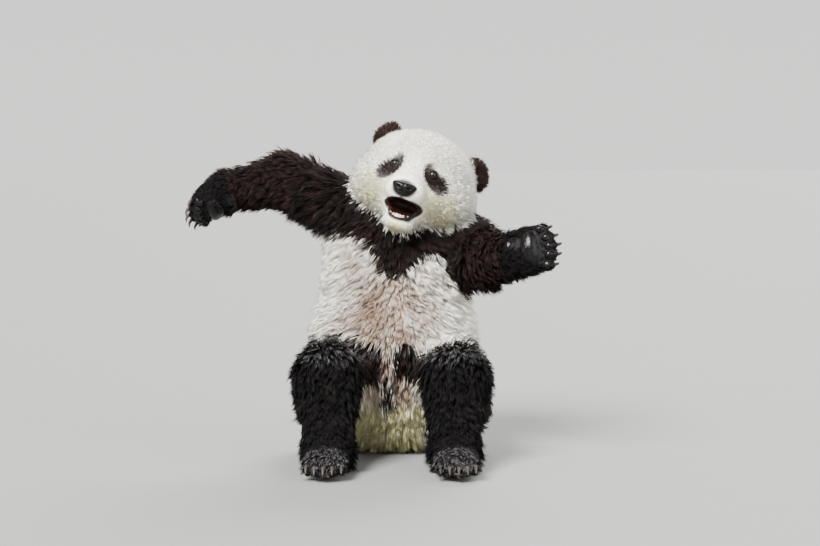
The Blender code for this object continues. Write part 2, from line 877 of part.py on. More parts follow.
def main():
    for obj in list(bpy.data.objects):
        bpy.data.objects.remove(obj)
    cub = collection("panda_cub")
    work = collection("cutters")
    looks = materials()
    head, swollen = build_head(work)
    parts = build_body(swollen, work)
    ears = {}
    for side in EAR_PLACES:
        ear = flesh("ear", ear_form(side), VOXEL_PAW, EAR_TRIANGLES, work)
        ears[f"ear_{side}"] = boolean(ear, swollen, "DIFFERENCE", work)
    head, face = build_face(head, work)
    claws = build_claws(parts, work)
    finish("head", head, looks["white"], cub)
    for name, (mesh, look) in face.items():
        finish(name, mesh, looks[look], cub)
    for name, mesh in ears.items():
        finish(name, mesh, looks["black"], cub)
    for name, mesh in parts.items():
        finish(name, mesh, looks["white" if name in WHITE_PARTS else "black"], cub)
    for name, mesh in claws.items():
        finish(name, mesh, looks["claw"], cub)


if __name__ == "__main__":
    main()
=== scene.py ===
"""The looks of a seated panda cub over its fixed frame: skin, coat, face, pads, claws and studio."""

import math
from collections import namedtuple

import bmesh
import bpy
import numpy as np
from mathutils import Matrix, Vector
from mathutils.bvhtree import BVHTree
from mathutils.kdtree import KDTree


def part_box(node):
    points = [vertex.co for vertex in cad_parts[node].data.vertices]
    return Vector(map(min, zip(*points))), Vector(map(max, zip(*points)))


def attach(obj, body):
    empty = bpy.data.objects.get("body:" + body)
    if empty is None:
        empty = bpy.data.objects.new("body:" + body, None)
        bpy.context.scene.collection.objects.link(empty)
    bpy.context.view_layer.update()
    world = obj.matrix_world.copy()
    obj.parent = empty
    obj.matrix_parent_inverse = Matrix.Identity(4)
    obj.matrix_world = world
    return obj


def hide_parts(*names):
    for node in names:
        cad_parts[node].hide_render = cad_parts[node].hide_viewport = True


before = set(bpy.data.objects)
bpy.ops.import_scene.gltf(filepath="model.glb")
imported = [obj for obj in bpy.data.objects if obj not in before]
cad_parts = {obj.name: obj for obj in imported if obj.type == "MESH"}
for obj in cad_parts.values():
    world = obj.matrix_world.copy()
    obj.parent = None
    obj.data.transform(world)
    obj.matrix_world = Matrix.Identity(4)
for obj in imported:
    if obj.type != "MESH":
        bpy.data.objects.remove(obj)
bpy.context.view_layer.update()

bl_info = {
    "name": "Seated panda cub",
    "version": (1, 0, 0),
    "blender": (4, 5, 0),
    "location": "View3D > Sidebar > Panda",
    "description": "Skin, coat, eyes, nose, mouth, pads, claws and studio of a seated panda cub",
    "category": "Object",
}

SIDES = ("left", "right")
SIGNS = {"left": 1, "right": -1}
PAWS = [(end, side) for end in ("front", "hind") for side in SIDES]
PAW_PARTS = {"front": "front_paw", "hind": "hind_foot"}
PAW_NODES = {(end, side): f"{PAW_PARTS[end]}_{side}" for end, side in PAWS}
LIMB_PARTS = ("upper_arm", "forearm", "front_paw", "thigh", "shin", "hind_foot")
PAIRED = ("ear",) + LIMB_PARTS
FLESH = ["head", "neck", "trunk", "tail"] + [f"{part}_{side}" for part in PAIRED for side in SIDES]
DIGITS = range(1, 6)
SEED = 11

# --- Measures taken from the frame ----------------------------------------------------------------

TOUCH = 0.0015  # corners of two nodes closer than this lie on the cut between them
EYE_LINE = Vector((0, -0.080, 0.002))  # the middle between the eyes, in the head's own frame
NOSE_SEAT = Vector((0, -0.131, -0.040))  # where the nose pad sits, in the head's own frame
MOUTH_TILT = math.radians(14)
MOUTH_ROOMS = (  # centre and half sizes of the two ovals that hollow the mouth
    ((0, -0.102, -0.0712), (0.032, 0.042, 0.013)),
    ((0, -0.106, -0.064), (0.021, 0.036, 0.012)),
)


def numbers_from(holders, key, width, kind):
    """One value or vector of each of a mesh's corners, edges, loops or triangles, as an array."""
    flat = np.empty(len(holders) * width, kind)
    holders.foreach_get(key, flat)
    return flat.reshape(-1, width)


def points_of(name):
    """The corners of a frame node as an array."""
    return numbers_from(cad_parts[name].data.vertices, "co", 3, np.float32).astype(float)


def tree_of(name):
    """A search tree over the faces of a frame node."""
    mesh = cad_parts[name].data
    return BVHTree.FromPolygons([v.co for v in mesh.vertices], [p.vertices[:] for p in mesh.polygons])


def middle(name):
    low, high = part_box(name)
    return (low + high) / 2


def meeting(first, second):
    """The middle of the cut between two neighbouring nodes."""
    tree = tree_of(second)
    close = [point for point in points_of(first) if tree.find_nearest(point)[3] < TOUCH]
    return Vector(np.mean(close, axis=0))


def head_place():
    """The head's own frame: x to its left, y to its back, z to its crown."""
    across = (middle("eye_left") - middle("eye_right")).normalized()
    between = (middle("eye_left") + middle("eye_right")) / 2
    down = middle("nose") - between
    down = (down - down.dot(across) * across).normalized()
    side = across.cross(down)
    lean = (NOSE_SEAT - EYE_LINE).normalized()
    back = lean.y * down - lean.z * side
    up = lean.z * down + lean.y * side
    turned = Matrix((across, back, up)).transposed()
    place = turned.to_4x4()
    place.translation = between - turned @ EYE_LINE
    return place


def paw_place(end, side):
    """A paw's own frame: x across the digits, y along them, z out of the palm or sole."""
    claws = [Vector(points_of(f"claw_{end}_{side}_{number}").mean(axis=0)) for number in DIGITS]
    above = {"front": "forearm", "hind": "shin"}[end]
    wrist = meeting(PAW_NODES[end, side], f"{above}_{side}")
    across = (claws[-1] - claws[0]).normalized()
    along = sum(claws, Vector()) / len(claws) - wrist
    along = (along - along.dot(across) * across).normalized()
    out = across.cross(along)
    facing = Vector((0, -1, 0)) if end == "front" else Vector((0, 0, -1))
    if out.dot(facing) < 0:
        across, out = -across, -out
    place = Matrix((across, along, out)).transposed().to_4x4()
    place.translation = wrist
    return place


def claw_root(end, side, number):
    """The middle of the corners of a claw that lie nearest the paw."""
    points = points_of(f"claw_{end}_{side}_{number}")
    wrist = np.array(PAW_PLACES[end, side].translation)
    order = np.argsort(np.linalg.norm(points - wrist, axis=1))
    return Vector(points[order[: len(points) // 5]].mean(axis=0))


HEAD = head_place()
PAW_PLACES = {place: paw_place(*place) for place in PAWS}
CLAW_ROOTS = {(end, side, n): claw_root(end, side, n) for end, side in PAWS for n in DIGITS}
EYES = {side: middle(f"eye_{side}") for side in SIDES}
EYE_RADIUS = (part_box("eye_left")[1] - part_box("eye_left")[0]).length / (2 * math.sqrt(3))
TRUNK_LOW, TRUNK_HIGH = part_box("trunk")
MIDLINE = (TRUNK_LOW.x + TRUNK_HIGH.x) / 2 - 0.002  # x of the line down the middle of the trunk
HALF_BELLY = 0.16
TRUNK_MIDDLE = -0.005  # y of the seam between the front and the back of the trunk's coat


def inside(place, points):
    """Points of the row frame seen from a part's own frame."""
    turn = np.array(place.inverted())
    return points @ turn[:3, :3].T + turn[:3, 3]


def in_head(point):
    """One point of the row frame seen from the head's own frame."""
    return inside(HEAD, np.array([point]))[0]


def turned_by(place, directions):
    """Directions of a part's own frame brought into the row frame."""
    return directions @ np.array(place.to_3x3()).T


# --- Settings -------------------------------------------------------------------------------------


def colour(name, description, default):
    return bpy.props.FloatVectorProperty(
        name=name, description=description, subtype="COLOR", size=3, min=0, max=1, default=default
    )


def length(name, description, default):
    return bpy.props.FloatProperty(
        name=name, description=description, unit="LENGTH", subtype="DISTANCE", min=0.0005, default=default
    )


def share(name, description, default):
    return bpy.props.FloatProperty(
        name=name, description=description, subtype="FACTOR", min=0, max=1, default=default
    )


class PandaCoatSettings(bpy.types.PropertyGroup):
    head_length: length("Head hair", "Length of the hair on the cheeks and crown", 0.019)
    body_length: length("Body hair", "Length of the hair on the trunk", 0.038)
    limb_length: length("Limb hair", "Length of the hair on arms and legs", 0.030)
    paw_length: length("Paw hair", "Length of the hair on the paws", 0.013)
    ear_length: length("Ear hair", "Length of the hair on the ears", 0.0112)
    clumping: share("Clumping", "How far the tufts gather into locks", 0.6)
    skin_cell: length("Skin cell", "Size of the cells that the skin is meshed with", 0.003)


class PandaColours(bpy.types.PropertyGroup):
    white: colour("White", "White hair", (0.97, 0.95, 0.87))
    # Darker, warmer roots of the white hair: painted shade between the tufts
    white_root_shade: colour("White roots", "Roots of the white hair", (0.88, 0.84, 0.74))
    # Yellowed white hair; on the lower cheeks it also paints shade
    cream_and_shade: colour("Cream", "Yellowed white hair of cheeks, chin and groin", (0.62, 0.59, 0.25))
    black: colour("Black", "Black hair", (0.0036, 0.0031, 0.0031))
    black_tip: colour("Black tips", "Tips of the black hair", (0.0098, 0.0074, 0.0068))
    sunned: colour("Sunned black", "Reddish brown of the ears and sunned black hair", (0.050, 0.019, 0.014))
    tan: colour("Tan", "Soiled hair of the belly", (0.30, 0.196, 0.130))
    soil: colour("Soil", "Darkest soiled hair", (0.105, 0.055, 0.030))
    # Pale tips of the black hair, also painting sheen on the thigh tops and highlights on the hind toes
    frost_and_sheen: colour("Frost", "Pale tips on the thighs and toes", (0.40, 0.39, 0.39))
    leather: colour("Leather", "Bare skin of nose, lids, lips and pads", (0.0024, 0.0022, 0.0024))
    gum: colour("Gum", "Gums", (0.40, 0.20, 0.18))
    throat: colour("Throat", "Lining of the mouth", (0.011, 0.0042, 0.0036))
    iris: colour("Iris", "Iris", (0.0050, 0.0032, 0.0024))
    horn: colour("Horn", "Claws", (0.032, 0.027, 0.024))


class PandaStageSettings(bpy.types.PropertyGroup):
    floor: colour("Floor", "Floor and backdrop", (0.225, 0.225, 0.219))
    key_strength: bpy.props.FloatProperty(
        name="Key", description="Strength of the main light", min=0, default=13.0
    )
    camera_distance: length("Camera distance", "From the camera to its aim", 4.0)
    camera_rise: bpy.props.FloatProperty(
        name="Camera rise",
        description="Angle of the camera above level",
        subtype="ANGLE",
        default=math.radians(4),
    )
    camera_lens: bpy.props.FloatProperty(name="Lens", description="Focal length", unit="CAMERA", default=100)


def settings(group):
    return getattr(bpy.context.scene, group)


# --- Small tools ----------------------------------------------------------------------------------


def unit(vectors):
    return vectors / np.maximum(np.linalg.norm(vectors, axis=-1, keepdims=True), 1e-12)


def ramp(values, start, end):
    """A smooth step from 0 at start to 1 at end."""
    t = np.clip((values - start) / (end - start), 0, 1)
    return t * t * (3 - 2 * t)


def hill(distance, full, none):
    """1 within full, falling to 0 at none."""
    return 1 - ramp(distance, full, none)


def blended(a, b, weight):
    return a + (b - a) * (weight if np.ndim(a) == np.ndim(weight) else weight[:, None])


def oval(first, second, centre, half):
    """How far points lie from the middle of an oval, as a share of its half sizes."""
    return np.sqrt(((first - centre[0]) / half[0]) ** 2 + ((second - centre[1]) / half[1]) ** 2)


def graded(values, steps):
    """What a line through a list of steps gives for each value."""
    return np.interp(values, *zip(*steps))


def away_from(points, centre, stretch=(1, 1, 1)):
    """Distance of points from a centre, with each axis divided by its stretch."""
    return np.linalg.norm((points - np.array(centre)) / np.array(stretch), axis=1)


def laid_down(flow, normals):
    """Directions brought onto the surface that has these normals."""
    return flow - (flow * normals).sum(axis=1)[:, None] * normals


def placed(name, data):
    """A new object in the scene."""
    made = bpy.data.objects.new(name, data)
    bpy.context.scene.collection.objects.link(made)
    return made


def changed(shape):
    """The mesh of an object with its modifiers applied."""
    graph = bpy.context.evaluated_depsgraph_get()
    return bpy.data.meshes.new_from_object(shape.evaluated_get(graph))


def shown(name, mesh, material, nodes=()):
    """A finished piece: smooth, riding on the body, and standing for the nodes that it replaces."""
    mesh.polygons.foreach_set("use_smooth", np.ones(len(mesh.polygons), bool))
    mesh.materials.clear()
    mesh.materials.append(material)
    piece = placed(name, mesh)
    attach(piece, "root")
    if nodes:
        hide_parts(*nodes)
    return piece


def mesh_from(name, points, faces):
    mesh = bpy.data.meshes.new(name)
    mesh.from_pydata([tuple(p) for p in points], [], faces)
    mesh.update()
    return mesh


def keep(mesh, name, values):
    """Stores a value or a vector for each corner of a mesh."""
    kind = "FLOAT_VECTOR" if values.ndim == 2 else "FLOAT"
    attribute = mesh.attributes.new(name, kind, "POINT")
    attribute.data.foreach_set("vector" if values.ndim == 2 else "value", values.astype(np.float32).ravel())


def ring_faces(rows, columns):
    """Faces of a grid of rows by columns whose columns close into a ring."""
    faces = []
    for low in range(0, (rows - 1) * columns, columns):
        high = low + columns
        for c in range(columns):
            after = (c + 1) % columns
            faces.append((low + c, low + after, high + after, high + c))
    return faces


def capped_faces(rows, columns, start=0):
    """Faces of a closed body of rings, whose first and last rings are filled in."""
    faces = ring_faces(rows, columns)
    faces.append(tuple(range(columns))[::-1])
    faces.append(tuple(range((rows - 1) * columns, rows * columns)))
    return [tuple(start + corner for corner in face) for face in faces]


def circle(count):
    """Evenly spaced turns of one full round."""
    return [2 * math.pi * k / count for k in range(count)]


def globe(rows, columns):
    """Directions over a ball, ring by ring from its front, with their angle and turn."""
    for row in range(rows):
        angle = math.pi * (row + 0.5) / rows
        for turn in circle(columns):
            x, z = math.sin(angle) * math.cos(turn), math.sin(angle) * math.sin(turn)
            yield angle, turn, (x, -math.cos(angle), z)


# --- Materials ------------------------------------------------------------------------------------

WARM_WHITE = (0.78, 0.71, 0.56)
WHITE_SHADES = (0.80, 1.06)  # brightness of the darkest and the palest tufts
BLACK_SHADES = (0.6, 1.5)
DUSTY_SKIN = (0.0080, 0.0068, 0.0068)
WORN_LEATHER = (0.0085, 0.0072, 0.0072)
DEEP_SHADE = (0.0006, 0.0005, 0.0005)
PALATE = (0.040, 0.014, 0.011)
PALE_GUM = (0.62, 0.42, 0.38)
ENAMEL = (0.54, 0.47, 0.41)
STAINED_ENAMEL = (0.40, 0.31, 0.25)
TONGUE_RED = (0.36, 0.11, 0.10)
TONGUE_PINK = (0.50, 0.20, 0.18)
PALE_HORN = (0.055, 0.045, 0.038)
IRIS_FIBRE = (0.014, 0.008, 0.005)
IRIS_RIM = (0.010, 0.006, 0.005)
EYE_WHITE = (0.022, 0.015, 0.013)
PUPIL = (0.002, 0.002, 0.002)
WORN_FLOOR = (0.216, 0.216, 0.210)


class Tree:
    """A material's nodes, added one at a time to its shader, whose own values are given by name."""

    def __init__(self, name, **shader):
        self.material = bpy.data.materials.new(name)
        self.material.use_nodes = True
        self.nodes = self.material.node_tree.nodes
        self.links = self.material.node_tree.links
        self.shader = self.nodes["Principled BSDF"]
        for socket, value in shader.items():
            self.shader.inputs[socket.replace("_", " ")].default_value = value

    def add(self, kind, inputs=None, **properties):
        made = self.nodes.new(kind)
        for name, value in properties.items():
            setattr(made, name, value)
        for socket, value in (inputs or {}).items():
            self.set(made.inputs[socket], value)
        return made

    def set(self, socket, value):
        if isinstance(value, bpy.types.NodeSocket):
            self.links.new(value, socket)
        elif isinstance(value, bpy.types.Node):
            self.links.new(value.outputs[0], socket)
        elif isinstance(value, (int, float)):
            socket.default_value = value
        else:
            value = tuple(value)
            socket.default_value = value if len(value) == len(socket.default_value) else (*value, 1)

    def finish(self, base, roughness=None, bump=None, strength=0.3, distance=0.001):
        self.set(self.shader.inputs["Base Color"], base)
        if roughness is not None:
            self.set(self.shader.inputs["Roughness"], roughness)
        if bump is not None:
            normal = self.add("ShaderNodeBump", {"Height": bump, "Strength": strength, "Distance": distance})
            self.set(self.shader.inputs["Normal"], normal)
        return self.material

    def attribute(self, name, vector=False):
        found = self.add("ShaderNodeAttribute", attribute_name=name)
        return found.outputs["Vector" if vector else "Fac"]

    def split(self, vector):
        return self.add("ShaderNodeSeparateXYZ", {0: vector}).outputs

    def math(self, operation, a, b=0.0, clamp=False):
        return self.add("ShaderNodeMath", {0: a, 1: b}, operation=operation, use_clamp=clamp).outputs[0]

    def mix(self, weight, a, b, blend="MIX"):
        made = self.add("ShaderNodeMix", data_type="RGBA", blend_type=blend)
        for index, value in ((0, weight), (6, a), (7, b)):
            self.set(made.inputs[index], value)
        return made.outputs[2]

    def noise(self, scale, detail=3.0, stretch=(1, 1, 1), roughness=0.5):
        place = self.add("ShaderNodeTexCoord").outputs["Object"]
        if stretch != (1, 1, 1):
            place = self.add("ShaderNodeMapping", {"Vector": place, "Scale": stretch}).outputs[0]
        inputs = {"Vector": place, "Scale": scale, "Detail": detail, "Roughness": roughness}
        return self.add("ShaderNodeTexNoise", inputs).outputs["Fac"]

    def cells(self, scale):
        place = self.add("ShaderNodeTexCoord").outputs["Object"]
        return self.add("ShaderNodeTexVoronoi", {"Vector": place, "Scale": scale}).outputs["Distance"]

    def between(self, value, low, high, to_low=0.0, to_high=1.0):
        inputs = {"Value": value, "From Min": low, "From Max": high, "To Min": to_low, "To Max": to_high}
        return self.add("ShaderNodeMapRange", inputs).outputs[0]


def hair_colours(tree, marks, along, shade):
    """White and black hair with their roots and tips, the soiled belly and the frosted tips; the darker white
    roots are painted shade between the tufts, and the frosted tips also paint sheen and highlights.
    """
    colours = settings("panda_colours")
    dark, tan, frost_and_sheen = marks
    patches = tree.noise(42, 4, roughness=0.6)
    warm = tree.noise(11, 2)
    # Darker towards the root: painted shade between the tufts
    white = tree.mix(tree.between(along, 0.0, 0.75), colours.white_root_shade, colours.white)
    white = tree.mix(tree.between(warm, 0.50, 0.80, 0, 0.25), white, WARM_WHITE)
    # Yellowed white hair, which on the lower cheeks is also painted shade
    white = tree.mix(tree.math("MULTIPLY", frost_and_sheen, 0.9), white, colours.cream_and_shade)
    soiled = tree.mix(tree.between(patches, 0.52, 0.70), colours.tan, colours.soil)
    soiled = tree.mix(tree.between(along, 0.2, 1.0, 0.0, 0.15), soiled, colours.white)
    blotches = tree.between(tree.noise(24, 3), 0.32, 0.58, 0.58, 1.0)
    white = tree.mix(tree.math("MULTIPLY", tan, blotches), white, soiled)
    outer, lit = tree.between(along, 0.45, 1.0), tree.between(shade, 0.35, 1.0)
    black = tree.mix(tree.math("MULTIPLY", outer, lit, clamp=True), colours.black, colours.black_tip)
    sunned = tree.math("MULTIPLY", tan, tree.between(along, 0.1, 0.9, 0.3, 1.0))
    black = tree.mix(sunned, black, colours.sunned)
    # Pale tips of the black hair, also painted sheen on the thigh tops and painted highlights on the toes
    tipped_and_sheened = tree.math("MULTIPLY", frost_and_sheen, tree.between(along, 0.25, 0.9), clamp=True)
    black = tree.mix(tipped_and_sheened, black, colours.frost_and_sheen)
    base = tree.mix(dark, white, black)
    on_white, on_black = (tree.between(shade, 0.0, 1.0, *span) for span in (WHITE_SHADES, BLACK_SHADES))
    return tree.mix(1.0, base, tree.mix(dark, on_white, on_black), "MULTIPLY")


def coat_material():
    """Hair of the tufts, which read their marks, their place along the tuft and their own shade."""
    if "panda hair" in bpy.data.materials:
        return bpy.data.materials["panda hair"]
    tree = Tree("panda hair", Roughness=0.62, Specular_IOR_Level=0.12)
    marks = tree.split(tree.attribute("marks", vector=True))
    base = hair_colours(tree, marks, tree.attribute("along"), tree.attribute("shade"))
    strands = tree.noise(2400, 1)
    return tree.finish(base, bump=strands, strength=0.35, distance=0.0004)


def skin_material():
    """Short undercoat, with bare leather on lips and pads and wet lining in the mouth."""
    colours = settings("panda_colours")
    tree = Tree("panda skin", Roughness=0.7, Specular_IOR_Level=0.20)
    marks = tree.split(tree.attribute("marks", vector=True))
    bare, wet, _ = tree.split(tree.attribute("bareness", vector=True))
    # The undercoat takes the root colours, with their painted shade
    base = hair_colours(tree, marks, 0.35, tree.between(tree.noise(700, 2), 0.3, 0.7))
    leather = tree.mix(tree.between(tree.cells(900), 0.1, 0.7), colours.leather, DUSTY_SKIN)
    base = tree.mix(bare, base, leather)
    lining = tree.mix(tree.between(tree.noise(90, 3), 0.35, 0.7), colours.throat, PALATE)
    base = tree.mix(wet, base, lining)
    gloss = tree.math("MAXIMUM", tree.math("MULTIPLY", bare, 0.75), wet)
    roughness = tree.between(gloss, 0.0, 1.0, 0.75, 0.25)
    height = tree.math("ADD", tree.noise(900, 3), tree.math("MULTIPLY", tree.cells(1100), bare))
    return tree.finish(base, roughness, height, 0.5, 0.0007)


def leather_material(name, pebble, gloss):
    """Black bare leather with fine pebbles and worn, duller patches, and painted shade, dull and dark, in its
    hollows.
    """
    tree = Tree(name, Roughness=gloss, Specular_IOR_Level=0.12, Coat_Weight=0.05, Coat_Roughness=0.06)
    worn = tree.between(tree.noise(160, 3), 0.4, 0.7)
    base = tree.mix(worn, settings("panda_colours").leather, WORN_LEATHER)
    roughness = tree.between(tree.noise(210, 2), 0.35, 0.65, gloss - 0.04, gloss + 0.06)
    # Darker and duller in the nostrils: painted shade
    hollow = tree.between(tree.attribute("hollow"), 0.10, 0.45)
    base = tree.mix(hollow, base, DEEP_SHADE)
    roughness = tree.math("MAXIMUM", roughness, tree.math("MULTIPLY", hollow, 0.95))
    grain = tree.math("ADD", tree.cells(pebble), tree.noise(pebble * 1.7, 2))
    return tree.finish(base, roughness, grain, 0.22, 0.0004)


def eye_material():
    """Brown iris with radial fibres, round pupil, dark rim and a dark sliver of white, under a wet coat."""
    tree = Tree("panda eye", Roughness=0.06, Specular_IOR_Level=0.06, Coat_Weight=0.5, Coat_Roughness=0.03)
    ring = tree.attribute("ring")
    spokes = {"Vector": tree.attribute("spoke", vector=True), "Scale": 9, "Detail": 4}
    fibre = tree.add("ShaderNodeTexNoise", spokes).outputs["Fac"]
    iris = tree.mix(tree.between(fibre, 0.35, 0.65), settings("panda_colours").iris, IRIS_FIBRE)
    iris = tree.mix(tree.between(ring, 0.52, 0.66), iris, IRIS_RIM)
    eye = tree.mix(tree.between(ring, 0.64, 0.70), iris, EYE_WHITE)
    eye = tree.mix(tree.between(ring, 0.25, 0.29), PUPIL, eye)
    return tree.finish(eye, bump=tree.noise(300, 2), strength=0.02)


def gum_material():
    tree = Tree("panda gum", Roughness=0.3, Coat_Weight=0.5, Coat_Roughness=0.1)
    base = tree.mix(tree.between(tree.noise(140, 3), 0.35, 0.7), settings("panda_colours").gum, PALE_GUM)
    return tree.finish(base, bump=tree.cells(1200), strength=0.25, distance=0.0004)


def tooth_material():
    tree = Tree("panda teeth", Roughness=0.25, Coat_Weight=0.4, Coat_Roughness=0.1)
    base = tree.mix(tree.between(tree.noise(260, 3), 0.35, 0.7), ENAMEL, STAINED_ENAMEL)
    return tree.finish(base, bump=tree.noise(500, 2), strength=0.1, distance=0.0004)


def tongue_material():
    tree = Tree("panda tongue", Roughness=0.38, Coat_Weight=0.4, Coat_Roughness=0.15)
    base = tree.mix(tree.between(tree.noise(120, 3), 0.35, 0.7), TONGUE_RED, TONGUE_PINK)
    return tree.finish(base, bump=tree.cells(1500), strength=0.5, distance=0.0006)


def horn_material():
    tree = Tree("panda claw", Roughness=0.35, Specular_IOR_Level=0.25)
    streak = tree.noise(900, 3, stretch=(1, 1, 0.2))
    base = tree.mix(tree.between(streak, 0.35, 0.7), settings("panda_colours").horn, PALE_HORN)
    return tree.finish(base, tree.between(streak, 0.3, 0.7, 0.28, 0.5), streak, 0.2, 0.0004)


def floor_material():
    tree = Tree("studio floor", Roughness=0.85)
    worn = tree.between(tree.noise(6, 2), 0.3, 0.7, 0, 0.15)
    base = tree.mix(worn, settings("panda_stage").floor, WORN_FLOOR)
    return tree.finish(base, bump=tree.noise(260, 2), strength=0.05, distance=0.0005)


# --- The skin's fields ----------------------------------------------------------------------------

# The setting that gives a part's hair, its share of that length, how much of the hair's length the skin
# lies below the tips, the spacing and width of the tufts, and how far they gather into locks.
Kind = namedtuple("Kind", "hair share sink spacing width clump")

KINDS = {
    "head": Kind("head_length", 1.0, 0.52, 0.0020, 0.0012, 0.42),
    "neck": Kind("body_length", 0.66, 0.48, 0.0026, 0.0016, 0.8),
    "trunk": Kind("body_length", 1.0, 0.47, 0.0026, 0.0016, 1.0),
    "tail": Kind("body_length", 0.8, 0.38, 0.0028, 0.0017, 0.8),
    "ear": Kind("ear_length", 1.0, 0.32, 0.0016, 0.0011, 0.5),
    "upper_arm": Kind("limb_length", 0.95, 0.44, 0.0022, 0.0014, 1.0),
    "forearm": Kind("limb_length", 0.85, 0.42, 0.0021, 0.0014, 1.0),
    "front_paw": Kind("paw_length", 0.9, 0.33, 0.0017, 0.0011, 0.7),
    "thigh": Kind("limb_length", 1.1, 0.46, 0.0022, 0.0014, 1.0),
    "shin": Kind("limb_length", 0.95, 0.42, 0.0021, 0.0014, 1.0),
    "hind_foot": Kind("paw_length", 1.45, 0.30, 0.0019, 0.0012, 0.9),
}

# Length of the hair at a distance from the nose, an eye and the mouth, for a head hair of FULL_HAIR.
FULL_HAIR = 0.020
NOSE_HAIR = ((0.018, 0.0032), (0.045, 0.0058), (0.075, 0.0100), (0.110, 0.0170), (0.150, 0.0200))
EYE_HAIR = ((0.011, 0.0034), (0.035, 0.022))
MOUTH_HAIR = ((0.008, 0.0026), (0.022, 0.018))

JAW_TIP = Vector((0, -0.0905, -0.0970))  # in the head's own frame
TOE_PAD = (0.0072, 0.0088)
LIP_GROOVE = -0.056  # height of the groove between nose and lip, in the head's own frame
PATCH_TILT = {"left": math.radians(47), "right": math.radians(36)}
PATCH_HALF = (0.0295, 0.0148)  # half length and half width of the black patch round an eye
PATCH_SHIFT = (0.0065, -0.0075)  # from the eye to the middle of its patch, outward and upward

# Edges of the black hair on the front: x and z of the chest's lower edge and of the top of the hips.
CHEST_LINE = (
    (-0.115, 0.388), (-0.060, 0.400), (-0.040, 0.386), (-0.022, 0.346), (-0.002, 0.322),
    (0.020, 0.334), (0.040, 0.358), (0.065, 0.370), (0.105, 0.342), (0.140, 0.308),
)
HIP_LINE = (
    (-0.155, 0.178), (-0.125, 0.200), (-0.096, 0.230), (-0.068, 0.230), (-0.039, 0.214), (-0.009, 0.202),
    (0.019, 0.212), (0.049, 0.204), (0.078, 0.208), (0.113, 0.200), (0.148, 0.186),
)
COLLAR = 0.455  # top of the black band in front
BAND_BACK = (0.350, 0.428)  # lower and upper edge of the band behind, on the midline
SHOULDER_REACH = 0.085  # how far the bones of arm and thigh run on inside the trunk
HIP_REACH = 0.060
GROIN_X, GROIN_HALF, GROIN_TOP = -0.006, 0.054, 0.154

# Soiled hair on the front: centre and half sizes, in x and z.
BELLY = ((GROIN_X, 0.262), (0.112, 0.115))
BREAST = ((-0.048, 0.350), (0.040, 0.060))
LAP = ((GROIN_X, 0.140), (0.062, 0.050))
STRIP_MIDDLE = 0.182
STREAK_MIDDLE = 0.126
WOOL = ((MIDLINE, 0.255), (0.075, 0.10))  # the short woolly hair of the belly

SUNNED = {"ear": 0.45, "upper_arm": 0.18, "forearm": 0.18, "trunk": 0.12, "neck": 0.12, "head": 0.30}
DARK_NOSE = 0.03  # the hair this near the nose isn't sunned

SKIN = {}


def kind_of(name):
    return KINDS[name.replace("_left", "").replace("_right", "")]


def smoothed(values, edges, rounds, share=0.5):
    """Values of corners evened out over the edges of their mesh."""
    count = len(values)
    table = values.reshape(count, -1).copy()
    ends = np.concatenate([edges[:, 0], edges[:, 1]])
    others = np.concatenate([edges[:, 1], edges[:, 0]])
    neighbours = np.maximum(np.bincount(ends, minlength=count), 1)[:, None]
    for _ in range(rounds):
        total = np.stack([np.bincount(ends, table[others, k], count) for k in range(table.shape[1])], axis=1)
        table += share * (total / neighbours - table)
    return table.reshape(values.shape)


def corner_normals(points, triangles):
    a, b, c = (points[triangles[:, k]] for k in range(3))
    face = np.cross(b - a, c - a)
    total = np.zeros_like(points)
    for k in range(3):
        for axis in range(3):
            total[:, axis] += np.bincount(triangles[:, k], face[:, axis], len(points))
    return unit(total)


def mouth_room(local):
    """How far points of the head's own frame lie outside the room of the mouth; below zero is inside."""
    nearest = np.full(len(local), 1.0)
    tilt = np.array(Matrix.Rotation(-MOUTH_TILT, 3, "X"))
    for centre, radii in MOUTH_ROOMS:
        offset = (local - np.array(centre)) @ tilt.T
        reach = np.linalg.norm(offset / np.array(radii), axis=1)
        distance = np.linalg.norm(offset, axis=1) * (1 - 1 / np.maximum(reach, 1e-6))
        nearest = np.minimum(nearest, distance)
    return nearest


def eye_patches(local):
    """The slanting black patches round the eyes."""
    found = np.zeros(len(local))
    for side, sign in SIGNS.items():
        eye = in_head(EYES[side])
        x = sign * (local[:, 0] - eye[0]) - PATCH_SHIFT[0]
        z = local[:, 2] - eye[2] - PATCH_SHIFT[1]
        tilt = PATCH_TILT[side]
        lengthwise = (x * math.sin(tilt) - z * math.cos(tilt)) / PATCH_HALF[0]
        crosswise = (x * math.cos(tilt) + z * math.sin(tilt)) / (PATCH_HALF[1] + 0.0015 * lengthwise)
        reach = np.sqrt(lengthwise**2 + crosswise**2)
        found = np.maximum(found, hill(reach, 0.88, 1.08) * (local[:, 1] < -0.02))
    return found


def from_bone(points, start, end):
    """Distance of points from a straight bone."""
    start, bone = np.array(start), np.array(end - start)
    part = np.clip((points - start) @ bone / (bone @ bone), 0, 1)
    return np.linalg.norm(points - start - part[:, None] * bone, axis=1)


def limb_root(first, second, reach):
    """The part of a limb's bone that lies inside the trunk, from its cut inward."""
    cut = meeting("trunk", first)
    beyond = meeting(first, second)
    return cut, cut + (cut - beyond).normalized() * reach


def shoulder_band(points):
    """The black band over the chest, shoulders and upper back."""
    x, y, z = points.T
    behind = ramp(y, 0.0, 0.05)
    low = blended(graded(x, CHEST_LINE), BAND_BACK[0] - 0.22 * (x - 0.01), behind)
    raised = 0.050 * ramp(-x, 0.045, 0.080)
    high = raised + blended(np.full(len(x), COLLAR), BAND_BACK[1] - 0.05 * x, behind)
    band = ramp(z, low - 0.005, low + 0.005) * hill(z, high - 0.005, high + 0.006)
    for side in SIDES:
        arm = limb_root(f"upper_arm_{side}", f"forearm_{side}", SHOULDER_REACH)
        band = np.maximum(band, hill(from_bone(points, *arm), 0.068, 0.078))
    return band


